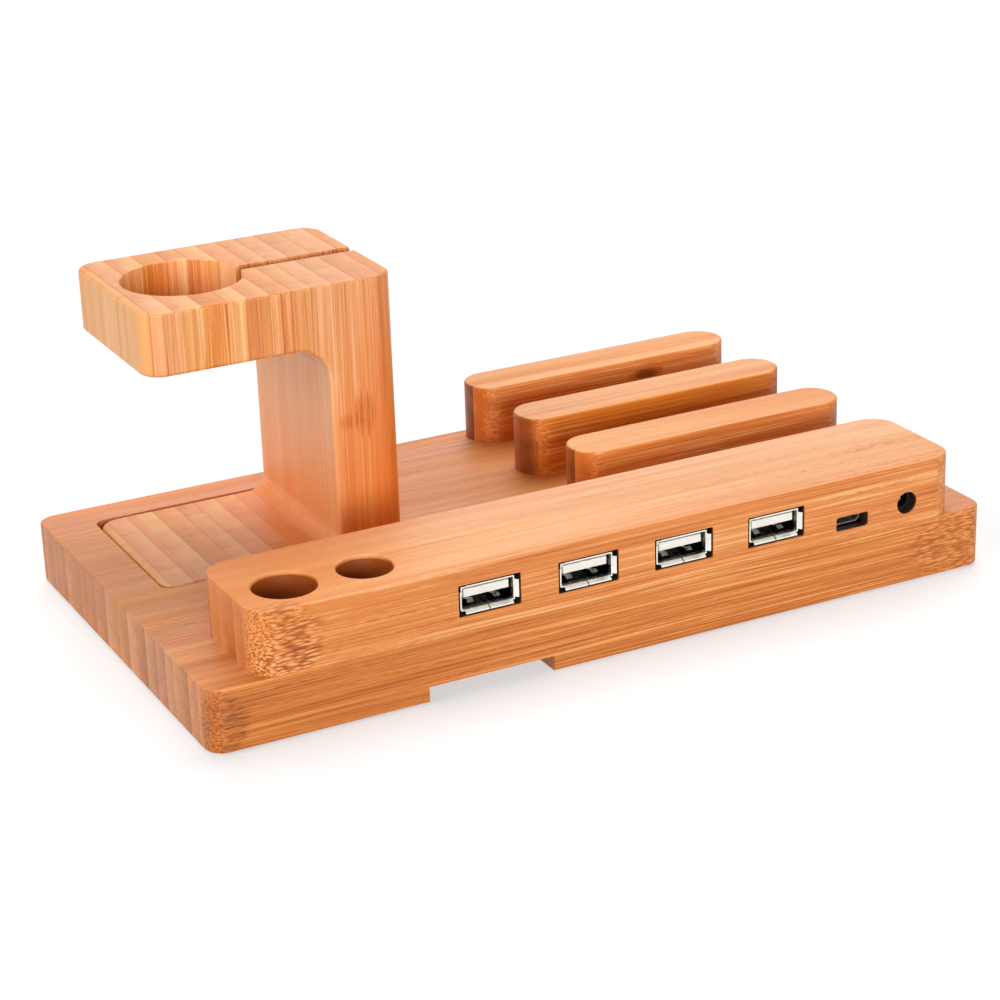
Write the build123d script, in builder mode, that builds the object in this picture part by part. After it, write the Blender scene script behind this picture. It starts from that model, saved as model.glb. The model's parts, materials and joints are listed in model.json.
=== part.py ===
"""Bamboo charging station organizer with a USB hub, a lift-out watch stand and three device rests.

Frame: origin on the table under the middle of the base, +X along the socket face to the right,
+Y away from the socket face, +Z up. Lengths are in millimetres.
"""

import os
from math import radians, tan

from build123d import *

# Base board
base_thickness = 15.0
base_right_margin = 8.7
base_corner_radius = 4.5
base_edge_radius = 0.5
cut_overrun = 1.0

# Rubber feet, let into the underside of the base
foot_radius = 6.0
foot_thickness = 1.5
foot_proud = 0.5
foot_edge_radius = 0.3
foot_fit = 0.15
foot_inset = 12.0

# Cable channel under the base: a wide leg from the front edge and a branch under the slats
channel_height = 3.7
channel_from_end = 51.2
channel_width = 31.0
channel_front_margin = 1.5
channel_right_margin = 3.0
channel_rear_margin = 3.375
channel_corner_radius = 3.0

# Cable slots through the floor between the slats
cable_slot_length = 22.0
cable_slot_width = 9.0

# Hub housing: the bar along the front, as long and as deep as what it holds
housing_from_end = 11.3
housing_corner_radius = 6.5
housing_edge_radius = 0.5
housing_front_wall = 2.6
housing_rear_wall = 6.0
housing_roof = 3.0
housing_right_wall = 7.3
cavity_corner_radius = 1.5
post_width = 7.0
post_setback = 2.0

# Pen holes, through the housing and on into the base
large_pen_radius = 7.2
small_pen_radius = 6.3
pen_end_wall = 5.1
pen_spacing_wall = 5.4
pen_cavity_wall = 8.7
pen_inset = 11.9
pen_depth_in_base = 9.0
pen_rim_radius = 0.6

# Sockets in the front face: gaps along the housing, heights over its underside
port_count = 4
port_height = 7.1
port_cover = 7.9
port_side_gap = 2.455
first_port_gap = 2.68
micro_gap = 10.68
dc_gap = 8.35
jack_end_gap = 3.6
port_cutout_radius = 0.3
lip_side_gap = 0.45
lip_top_gap = 0.39
micro_side_gap = 0.7
micro_top_gap = 0.5
micro_cutout_radius = 0.7
micro_sink = 0.34
dc_rise = 1.11
dc_hole_radius = 2.75

# Upright slats
slat_count = 3
slat_length = 76.0
slat_thickness = 13.25
slat_gap = 14.25
slat_height = 15.0
slat_edge_radius = 0.7

# Dowels between the slats and the base
dowel_radius = 3.0
dowel_fit = 0.05
dowel_in_base = 8.0
dowel_in_slat = 9.5
dowel_end_gap = 0.5
dowel_chamfer = 0.5
dowel_end_inset = 13.0

# Watch stand, one C-shaped block
stand_from_end = 12.0
stand_from_rear = 10.2
stand_length = 61.5
stand_width = 47.4
stand_height = 65.0
arm_thickness = 15.0
column_thickness = 17.5
foot_depth = 8.0
stand_corner_radius = 5.4
stand_top_round = 0.9
stand_edge_round = 1.0
arm_fillet = 8.0
foot_fillet = 4.5
pocket_clearance = 0.5
pocket_corner_radius = 3.0

# Pocket for the watch charging puck, with its cable slot
puck_pocket_radius = 14.1
puck_pocket_depth = 8.5
puck_push_radius = 9.0
puck_rim_round = 0.4
puck_end_wall = 4.2
puck_slot_width = 3.4

# Circuit board of the hub
board_thickness = 1.6
board_behind_sockets = 8.9
board_rear_gap = 2.6
board_fit = 0.3
board_pin_reach = 1.4

# USB-A receptacles
shell_width = 13.14
shell_height = 5.72
shell_wall = 0.3
shell_depth = 12.9
shell_seam = 0.25
shell_leg_width = 1.6
shell_leg_setback = 9.0
lip_setback = 0.2
lip_length = 0.9
lip_flare_side = 0.63
lip_flare_top = 0.5
lip_side_height = 4.2
lip_top_width = 11.7
spring_width = 1.6
spring_length = 5.2
spring_rise = 1.0
spring_tip = 0.9
spring_front_setback = 2.0
spring_spacing = 6.4
spring_window_margin = 0.4
tongue_side_gap = 0.72
tongue_thickness = 1.84
tongue_roof_gap = 0.6
tongue_setback = 0.6
tongue_corner_radius = 0.4
insulator_block_depth = 2.9
insulator_fit = 0.05
contact_width = 1.0
contact_thickness = 0.25
contact_setback = 1.2
contact_inner_pitch = 2.0
contact_outer_pitch = 7.0
contact_leg_width = 0.6
contact_fit = 0.03
pin_hole_radius = 0.55

# Micro-USB receptacle
micro_width = 7.5
micro_shell_height = 2.5
micro_chamfer = 0.9
micro_wall = 0.25
micro_depth = 5.0
micro_setback = 0.1
micro_wing_width = 1.0
micro_wing_length = 1.4
micro_block_depth = 1.2
micro_tongue_width = 4.2
micro_tongue_thickness = 0.5
micro_tongue_setback = 0.6
micro_contact_count = 5
micro_contact_pitch = 0.65
micro_contact_width = 0.3
micro_contact_thickness = 0.15
micro_contact_tail = 1.2
socket_cutout_fit = 0.2

# DC power jack
jack_width = 6.6
jack_body_height = 5.4
jack_depth = 9.0
jack_bore_radius = 1.95
jack_bore_depth = 7.5
jack_edge_chamfer = 0.4
jack_wing_width = 0.9
jack_wing_thickness = 0.9
jack_pin_radius = 0.65
jack_pin_setback = 0.5
jack_pin_tail = 0.8
jack_spring_width = 1.6
jack_spring_thickness = 0.3
jack_spring_setback = 1.5
jack_spring_tail = 1.0

# Parts soldered on the circuit board
controller_length = 10.2
controller_width = 5.3
controller_height = 1.75
controller_setback = 13.0
controller_pin_count = 14
controller_pin_pitch = 0.65
controller_pin_reach = 1.2
controller_pin_width = 0.3
controller_pin_thickness = 0.2
controller_pin_height = 0.8
crystal_length = 11.0
crystal_width = 4.6
crystal_height = 3.5
crystal_flange = 0.4
crystal_flange_height = 0.5
capacitor_radius = 3.15
capacitor_height = 5.8
capacitor_base_size = 6.6
capacitor_base_height = 0.8
capacitor_chamfer = 1.2
capacitor_edge_radius = 0.4
capacitor_front_setback = 9.0
capacitor_rear_setback = 4.2
inductor_size = 7.0
inductor_height = 4.0
inductor_corner_radius = 1.4
inductor_setback = 4.0
regulator_length = 4.9
regulator_width = 3.9
regulator_height = 1.5
regulator_pin_count = 4
regulator_pin_pitch = 1.27
diode_length = 4.3
diode_width = 2.6
diode_height = 2.2
diode_chamfer = 0.3
diode_setback = 10.0
chip_capacitor_length = 2.0
chip_capacitor_width = 1.25
chip_capacitor_height = 0.9
chip_resistor_length = 1.6
chip_resistor_width = 0.8
chip_resistor_height = 0.5
chip_spacing = 3.2
chip_row_setback = 2.6
chip_row_step = 2.6

# Screws: wood screws up into the housing, small screws up into the posts
wood_screw_radius = 1.5
wood_screw_head_radius = 2.8
wood_screw_head_height = 2.0
wood_screw_sink = 3.2
wood_screw_in_housing = 8.0
wood_screw_fit = 0.15
wood_screw_head_fit = 0.4
wood_screw_inset = 25.2
wood_screw_end_inset = 6.2
board_screw_radius = 1.0
board_screw_head_radius = 1.7
board_screw_head_height = 0.9
board_screw_length = 5.0
board_screw_setback = 3.4
board_screw_fit = 0.1
cross_recess_width = 0.6
cross_recess_share = 1.2
cross_recess_depth_share = 0.5
screw_point_share = 0.8

# Sizes and places worked out from the sizes above
large_pen_from_end = large_pen_radius + pen_end_wall
pen_pitch = large_pen_radius + pen_spacing_wall + small_pen_radius
cavity_from_end = large_pen_from_end + pen_pitch + small_pen_radius + pen_cavity_wall
port_pitch = shell_width + capacitor_base_size + 2 * port_side_gap
first_port_from_end = cavity_from_end + first_port_gap + shell_width / 2
last_port_from_end = first_port_from_end + (port_count - 1) * port_pitch
micro_from_end = last_port_from_end + shell_width / 2 + micro_gap + micro_width / 2
dc_from_end = micro_from_end + micro_width / 2 + dc_gap + jack_width / 2
housing_length = dc_from_end + jack_width / 2 + jack_end_gap + housing_right_wall
housing_height = port_height + port_cover
sockets_depth = lip_setback + lip_length + shell_depth
board_width = sockets_depth - housing_front_wall - board_fit + board_behind_sockets
housing_depth = housing_front_wall + board_fit + board_width + board_rear_gap + housing_rear_wall
base_length = housing_from_end + housing_length + base_right_margin
base_depth = housing_depth + slat_count * (slat_gap + slat_thickness)

base_left = -base_length / 2
base_right = base_length / 2
base_front = -base_depth / 2
base_rear = base_depth / 2
base_bottom = foot_proud
base_top = base_bottom + base_thickness

housing_left = base_left + housing_from_end
housing_right = housing_left + housing_length
housing_rear = base_front + housing_depth
housing_top = base_top + housing_height
housing_middle_x = (housing_left + housing_right) / 2
housing_middle_y = (base_front + housing_rear) / 2
cavity_left = housing_left + cavity_from_end
cavity_right = housing_right - housing_right_wall
cavity_front = base_front + housing_front_wall
cavity_rear = housing_rear - housing_rear_wall
cavity_top = housing_top - housing_roof

port_z = base_top + port_height
port_places = [housing_left + first_port_from_end + k * port_pitch for k in range(port_count)]
port_cutout_width = shell_width + 2 * (lip_flare_side + lip_side_gap)
port_cutout_height = shell_height + 2 * (lip_flare_top + lip_top_gap)
shell_front_y = base_front + lip_setback + lip_length
shell_rear_y = shell_front_y + shell_depth
shell_leg_y = base_front + shell_leg_setback
shell_inner_height = shell_height - 2 * shell_wall
tongue_top = port_z + shell_inner_height / 2 - tongue_roof_gap
tongue_bottom = tongue_top - tongue_thickness
tongue_width = shell_width - 2 * (shell_wall + tongue_side_gap)
block_front_y = shell_rear_y - insulator_block_depth
contact_rear_y = shell_rear_y + 2 * contact_thickness
contact_leg_y = contact_rear_y - contact_thickness / 2
contact_places = [-contact_outer_pitch / 2, -contact_inner_pitch / 2, contact_inner_pitch / 2,
                  contact_outer_pitch / 2]

board_top = port_z - shell_height / 2
board_bottom = board_top - board_thickness
board_left = cavity_left + board_fit
board_right = cavity_right - board_fit
board_front = cavity_front + board_fit
board_rear = board_front + board_width
pin_bottom = board_bottom - board_pin_reach
post_length = cavity_rear - shell_rear_y - post_setback
post_places = [cavity_left + post_width / 2, port_places[1] + port_pitch / 2, cavity_right - post_width / 2]
board_screw_y = board_rear - board_screw_setback

micro_x = housing_left + micro_from_end
micro_z = board_top - micro_sink
micro_cutout_width = micro_width + 2 * micro_side_gap
micro_cutout_height = micro_shell_height + 2 * micro_top_gap
micro_front_y = cavity_front + micro_setback
micro_rear_y = micro_front_y + micro_depth
dc_x = housing_left + dc_from_end
dc_z = board_top + dc_rise
jack_front_y = cavity_front + micro_setback
jack_rear_y = jack_front_y + jack_depth

pen_y = base_front + pen_inset
pen_holes = [(housing_left + large_pen_from_end, large_pen_radius),
             (housing_left + large_pen_from_end + pen_pitch, small_pen_radius)]

slat_right = housing_right
slat_left = slat_right - slat_length
slat_x = (slat_left + slat_right) / 2
slat_pitch = slat_thickness + slat_gap
slat_places = [housing_rear + slat_gap + slat_thickness / 2 + k * slat_pitch for k in range(slat_count)]
slot_places = [y - slat_pitch / 2 for y in slat_places]
dowel_columns = (slat_left + dowel_end_inset, slat_right - dowel_end_inset)
dowel_places = [(x, y) for y in slat_places for x in dowel_columns]
dowel_bottom = base_top - dowel_in_base

channel_left = base_left + channel_from_end
channel_right = channel_left + channel_width
branch_right = slat_x + cable_slot_length / 2 + channel_right_margin
branch_front = housing_rear + channel_front_margin
branch_rear = slot_places[-1] + cable_slot_width / 2 + channel_rear_margin
channel_top = base_bottom + channel_height

stand_left = base_left + stand_from_end
stand_right = stand_left + stand_length
stand_rear = base_rear - stand_from_rear
stand_front = stand_rear - stand_width
stand_bottom = base_top - foot_depth
stand_top = base_top + stand_height
arm_bottom = stand_top - arm_thickness
column_left = stand_right - column_thickness
stand_middle_y = (stand_front + stand_rear) / 2
puck_x = stand_left + puck_end_wall + puck_pocket_radius

foot_recess = foot_thickness - foot_proud
foot_places = {
    "foot_front_left": (base_left + foot_inset, base_front + foot_inset),
    "foot_front_right": (base_right - foot_inset, base_front + foot_inset),
    "foot_rear_left": (base_left + foot_inset, base_rear - foot_inset),
    "foot_rear_right": (base_right - foot_inset, base_rear - foot_inset),
}

wood_screw_y = base_front + wood_screw_inset
rear_wall_y = housing_rear - housing_rear_wall / 2
right_wall_x = housing_right - housing_right_wall / 2
wood_screw_places = [
    (housing_left + wood_screw_end_inset, wood_screw_y),
    (pen_holes[1][0], wood_screw_y),
    (port_places[1], rear_wall_y),
    (port_places[3], rear_wall_y),
    (right_wall_x, wood_screw_y),
]
wood_screw_head_z = base_bottom + wood_screw_sink


def share(piece):
    """Write one finished piece to its file, under its own label."""
    export_step(piece, f"parts/{piece.label}.step")


def front_plane(y):
    """Upright plane through y, with its sketch drawn in X and Z as seen from the socket face."""
    return Plane.XZ.offset(-y)


os.makedirs("parts", exist_ok=True)

# Base board
with BuildPart() as base_board:
    with BuildSketch(Plane.XY.offset(base_bottom)):
        RectangleRounded(base_length, base_depth, base_corner_radius)
    extrude(amount=base_thickness)
    fillet(base_board.faces().sort_by(Axis.Z)[-1].edges(), base_edge_radius)
    fillet(base_board.faces().sort_by(Axis.Z)[0].edges(), base_edge_radius)
    # square front edge where the bar stands flush with it
    with BuildSketch(Plane.XY.offset(base_top - base_edge_radius)):
        with Locations((housing_middle_x, base_front + base_edge_radius / 2)):
            Rectangle(housing_length - 2 * housing_corner_radius, base_edge_radius)
    extrude(amount=base_edge_radius)
    # pocket for the foot of the watch stand
    with BuildSketch(Plane.XY.offset(stand_bottom)):
        with Locations(((stand_left + stand_right) / 2, stand_middle_y)):
            RectangleRounded(stand_length + 2 * pocket_clearance, stand_width + 2 * pocket_clearance,
                             pocket_corner_radius)
    extrude(amount=foot_depth + cut_overrun, mode=Mode.SUBTRACT)
    # blind ends of the pen holes
    for pen_x, pen_radius in pen_holes:
        with BuildSketch(Plane.XY.offset(base_top - pen_depth_in_base)):
            with Locations((pen_x, pen_y)):
                Circle(pen_radius)
        extrude(amount=pen_depth_in_base + cut_overrun, mode=Mode.SUBTRACT)
    # cable channel: the leg in from the front edge
    with BuildSketch(Plane.XY.offset(base_bottom - cut_overrun)):
        with Locations(((channel_left + channel_right) / 2, (base_front + branch_rear) / 2)):
            Rectangle(channel_width, branch_rear - base_front)
        with Locations(((channel_left + channel_right) / 2, base_front)):
            Rectangle(channel_width, 2 * cut_overrun)
    extrude(amount=channel_height + cut_overrun, mode=Mode.SUBTRACT)
    # cable channel: the branch under the slats
    with BuildSketch(Plane.XY.offset(base_bottom - cut_overrun)):
        with Locations(((channel_left + branch_right) / 2, (branch_front + branch_rear) / 2)):
            RectangleRounded(branch_right - channel_left, branch_rear - branch_front, channel_corner_radius)
    extrude(amount=channel_height + cut_overrun, mode=Mode.SUBTRACT)
    # cable slots through the floor between the slats
    with BuildSketch(Plane.XY.offset(channel_top - cut_overrun)):
        for slot_y in slot_places:
            with Locations((slat_x, slot_y)):
                SlotOverall(cable_slot_length, cable_slot_width)
    extrude(amount=base_thickness + cut_overrun, mode=Mode.SUBTRACT)
    # dowel holes
    with BuildSketch(Plane.XY.offset(dowel_bottom)):
        with Locations(*dowel_places):
            Circle(dowel_radius + dowel_fit)
    extrude(amount=dowel_in_base + cut_overrun, mode=Mode.SUBTRACT)
    # screw holes with sunk heads
    with BuildSketch(Plane.XY.offset(base_bottom)):
        with Locations(*wood_screw_places):
            Circle(wood_screw_radius + wood_screw_fit)
    extrude(amount=base_thickness + cut_overrun, mode=Mode.SUBTRACT)
    with BuildSketch(Plane.XY.offset(base_bottom - cut_overrun)):
        with Locations(*wood_screw_places):
            Circle(wood_screw_head_radius + wood_screw_head_fit)
    extrude(amount=wood_screw_sink + cut_overrun, mode=Mode.SUBTRACT)
    # recesses for the rubber feet
    with BuildSketch(Plane.XY.offset(base_bottom - cut_overrun)):
        with Locations(*foot_places.values()):
            Circle(foot_radius + foot_fit)
    extrude(amount=foot_recess + cut_overrun, mode=Mode.SUBTRACT)
base_board.part.label = "base_board"
share(base_board.part)

# Rubber feet
for foot_name, (foot_x, foot_y) in foot_places.items():
    with BuildPart() as rubber_foot:
        with BuildSketch(Plane.XY):
            with Locations((foot_x, foot_y)):
                Circle(foot_radius)
        extrude(amount=foot_thickness)
        fillet(rubber_foot.edges().group_by(Axis.Z)[0], foot_edge_radius)
    rubber_foot.part.label = foot_name
    share(rubber_foot.part)

# Hub housing, hollow from below, with posts that the circuit board is screwed to
with BuildPart() as hub_housing:
    with BuildSketch(Plane.XY.offset(base_top)):
        with Locations((housing_middle_x, housing_middle_y)):
            RectangleRounded(housing_length, housing_depth, housing_corner_radius)
    extrude(amount=housing_height)
    fillet(hub_housing.faces().sort_by(Axis.Z)[-1].edges(), housing_edge_radius)
    # rebate that takes the circuit board
    with BuildSketch(Plane.XY.offset(base_top - cut_overrun)):
        with Locations(((cavity_left + cavity_right) / 2, (cavity_front + cavity_rear) / 2)):
            RectangleRounded(cavity_right - cavity_left, cavity_rear - cavity_front, cavity_corner_radius)
    extrude(amount=board_top - base_top + cut_overrun, mode=Mode.SUBTRACT)
    # deeper pocket for what stands on the board, between the posts
    with BuildSketch(Plane.XY.offset(board_top - cut_overrun)) as component_pocket:
        with Locations(((cavity_left + cavity_right) / 2, (cavity_front + cavity_rear) / 2)):
            RectangleRounded(cavity_right - cavity_left, cavity_rear - cavity_front, cavity_corner_radius)
        with Locations(*[(post_x, cavity_rear - post_length / 2) for post_x in post_places]):
            Rectangle(post_width, post_length, mode=Mode.SUBTRACT)
    extrude(amount=cavity_top - board_top + cut_overrun, mode=Mode.SUBTRACT)
    # cut-outs for the sockets through the front wall
    with BuildSketch(front_plane(base_front - cut_overrun)):
        with Locations(*[(port_x, port_z) for port_x in port_places]):
            RectangleRounded(port_cutout_width, port_cutout_height, port_cutout_radius)
        with Locations((micro_x, micro_z)):
            RectangleRounded(micro_cutout_width, micro_cutout_height, micro_cutout_radius)
        with Locations((dc_x, dc_z)):
            Circle(dc_hole_radius)
    extrude(amount=-(housing_front_wall + 2 * cut_overrun), mode=Mode.SUBTRACT)
    # pen holes
    for pen_x, pen_radius in pen_holes:
        with BuildSketch(Plane.XY.offset(base_top - cut_overrun)):
            with Locations((pen_x, pen_y)):
                Circle(pen_radius)
        extrude(amount=housing_height + 2 * cut_overrun, mode=Mode.SUBTRACT)
    rims = hub_housing.edges().filter_by(GeomType.CIRCLE).group_by(Axis.Z)[-1]
    fillet(rims, pen_rim_radius)
    # pilot holes for the wood screws and the board screws
    with BuildSketch(Plane.XY.offset(base_top - cut_overrun)):
        with Locations(*wood_screw_places):
            Circle(wood_screw_radius + wood_screw_fit)
    extrude(amount=wood_screw_in_housing + 2 * cut_overrun, mode=Mode.SUBTRACT)
    with BuildSketch(Plane.XY.offset(board_top - cut_overrun)):
        with Locations(*[(post_x, board_screw_y) for post_x in post_places]):
            Circle(board_screw_radius + board_screw_fit)
    extrude(amount=board_screw_length - board_thickness + 2 * cut_overrun, mode=Mode.SUBTRACT)
hub_housing.part.label = "hub_housing"
share(hub_housing.part)

# Watch stand
with BuildPart() as watch_stand:
    with BuildSketch(front_plane(stand_front)) as stand_profile:
        with BuildLine():
            Polyline((stand_left, stand_bottom), (stand_right, stand_bottom), (stand_right, stand_top),
                     (stand_left, stand_top), (stand_left, arm_bottom), (column_left, arm_bottom),
                     (column_left, base_top), (stand_left, base_top), close=True)
        make_face()
        fillet(stand_profile.vertices().sort_by_distance((column_left, arm_bottom))[0], arm_fillet)
        fillet(stand_profile.vertices().sort_by_distance((column_left, base_top))[0], foot_fillet)
    extrude(amount=-stand_width)
    upright_edges = watch_stand.edges().filter_by(Axis.Z).group_by(Axis.X)
    fillet(upright_edges[0] + upright_edges[-1], stand_corner_radius)
    fillet(watch_stand.faces().sort_by(Axis.Z)[-1].edges(), stand_top_round)
    # edges of the hollow between foot and arm, on the front, the back and the open end
    hollow_rim = watch_stand.edges().filter_by_position(Axis.Z, base_top, arm_bottom)
    hollow_rim = hollow_rim.filter_by_position(Axis.X, stand_left, column_left)
    across = hollow_rim.filter_by(Axis.Y)
    fillet(hollow_rim - across + across.group_by(Axis.X)[0], stand_edge_round)
    # pocket for the charging puck, with a slot for its cable out over the column
    with BuildSketch(Plane.XY.offset(stand_top - puck_pocket_depth)):
        with Locations((puck_x, stand_middle_y)):
            Circle(puck_pocket_radius)
        with Locations(((puck_x + stand_right + cut_overrun) / 2, stand_middle_y)):
            Rectangle(stand_right + cut_overrun - puck_x, puck_slot_width)
    extrude(amount=puck_pocket_depth + cut_overrun, mode=Mode.SUBTRACT)
    puck_rim = watch_stand.edges().group_by(Axis.Z)[-1].filter_by(Axis.Y, reverse=True)
    puck_rim = puck_rim.filter_by_position(
        Axis.Y, stand_middle_y - puck_slot_width, stand_middle_y + puck_slot_width)
    fillet(puck_rim, puck_rim_round)
    # hole to push the puck out from below
    with BuildSketch(Plane.XY.offset(arm_bottom - cut_overrun)):
        with Locations((puck_x, stand_middle_y)):
            Circle(puck_push_radius)
    extrude(amount=arm_thickness, mode=Mode.SUBTRACT)
watch_stand.part.label = "watch_stand"
share(watch_stand.part)

# Slats and their dowels
for slat_name, slat_y in zip(("slat_front", "slat_middle", "slat_rear"), slat_places):
    with BuildPart() as slat:
        with BuildSketch(Plane.XY.offset(base_top)):
            with Locations((slat_x, slat_y)):
                SlotOverall(slat_length, slat_thickness)
        extrude(amount=slat_height)
        fillet(slat.faces().sort_by(Axis.Z)[-1].edges(), slat_edge_radius)
        with BuildSketch(Plane.XY.offset(base_top - cut_overrun)):
            with Locations(*[(x, y) for x, y in dowel_places if y == slat_y]):
                Circle(dowel_radius + dowel_fit)
        extrude(amount=dowel_in_slat + dowel_end_gap + cut_overrun, mode=Mode.SUBTRACT)
    slat.part.label = slat_name
    share(slat.part)

with BuildPart() as slat_dowels:
    with BuildSketch(Plane.XY.offset(dowel_bottom)):
        with Locations(*dowel_places):
            Circle(dowel_radius)
    extrude(amount=dowel_in_base + dowel_in_slat)
    chamfer(slat_dowels.edges().filter_by(GeomType.CIRCLE), dowel_chamfer)
slat_dowels.part.label = "slat_dowels"
share(slat_dowels.part)


def screw_set(label, places, head_z, head_radius, head_height, radius, length):
    """Pan-head screws that point up, with a cross recess in each head below head_z."""
    recess_depth = head_height * cross_recess_depth_share
    with BuildPart() as screws:
        with BuildSketch(Plane.XY.offset(head_z - head_height)):
            with Locations(*places):
                Circle(head_radius)
        extrude(amount=head_height)
        with BuildSketch(Plane.XY.offset(head_z)):
            with Locations(*places):
                Circle(radius)
        extrude(amount=length)
        point_rim = screws.edges().filter_by(GeomType.CIRCLE).group_by(Axis.Z)[-1]
        chamfer(point_rim, radius * screw_point_share)
        head_rim = screws.edges().filter_by(GeomType.CIRCLE).group_by(Axis.Z)[0]
        fillet(head_rim, head_height * cross_recess_depth_share)
        with BuildSketch(Plane.XY.offset(head_z - head_height)):
            with Locations(*places):
                Rectangle(head_radius * cross_recess_share, cross_recess_width)
                Rectangle(cross_recess_width, head_radius * cross_recess_share)
        extrude(amount=recess_depth, mode=Mode.SUBTRACT)
    screws.part.label = label
    share(screws.part)


screw_set("housing_screws", wood_screw_places, wood_screw_head_z,
          wood_screw_head_radius, wood_screw_head_height, wood_screw_radius,
          base_top + wood_screw_in_housing - wood_screw_head_z)
screw_set("board_screws", [(post_x, board_screw_y) for post_x in post_places], board_bottom,
          board_screw_head_radius, board_screw_head_height, board_screw_radius, board_screw_length)

# Circuit board of the hub
with BuildPart() as hub_board:
    with BuildSketch(Plane.XY.offset(board_bottom)):
        with Locations(((board_left + board_right) / 2, (board_front + board_rear) / 2)):
            RectangleRounded(board_right - board_left, board_width, cavity_corner_radius - board_fit)
        # front edge cut away for the micro-USB socket and the DC jack, which sit into the board
        with Locations((micro_x, (board_front + micro_rear_y) / 2)):
            Rectangle(micro_width + 2 * socket_cutout_fit, micro_rear_y - board_front + 2 * socket_cutout_fit,
                      mode=Mode.SUBTRACT)
        with Locations((dc_x, (board_front + jack_rear_y) / 2)):
            Rectangle(jack_width + 2 * socket_cutout_fit, jack_rear_y - board_front + 2 * socket_cutout_fit,
                      mode=Mode.SUBTRACT)
        with Locations(*[(post_x, board_screw_y) for post_x in post_places]):
            Circle(board_screw_radius + board_screw_fit, mode=Mode.SUBTRACT)
        for port_x in port_places:
            with Locations(*[(port_x + offset, contact_leg_y) for offset in contact_places]):
                Circle(pin_hole_radius, mode=Mode.SUBTRACT)
            leg_offset = (shell_width - shell_wall) / 2
            with Locations(*[(port_x + side * leg_offset, shell_leg_y) for side in (-1, 1)]):
                SlotOverall(shell_leg_width + 2 * socket_cutout_fit, shell_wall + 2 * socket_cutout_fit,
                            rotation=90, mode=Mode.SUBTRACT)
    extrude(amount=board_thickness)
hub_board.part.label = "hub_board"
share(hub_board.part)

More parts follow.
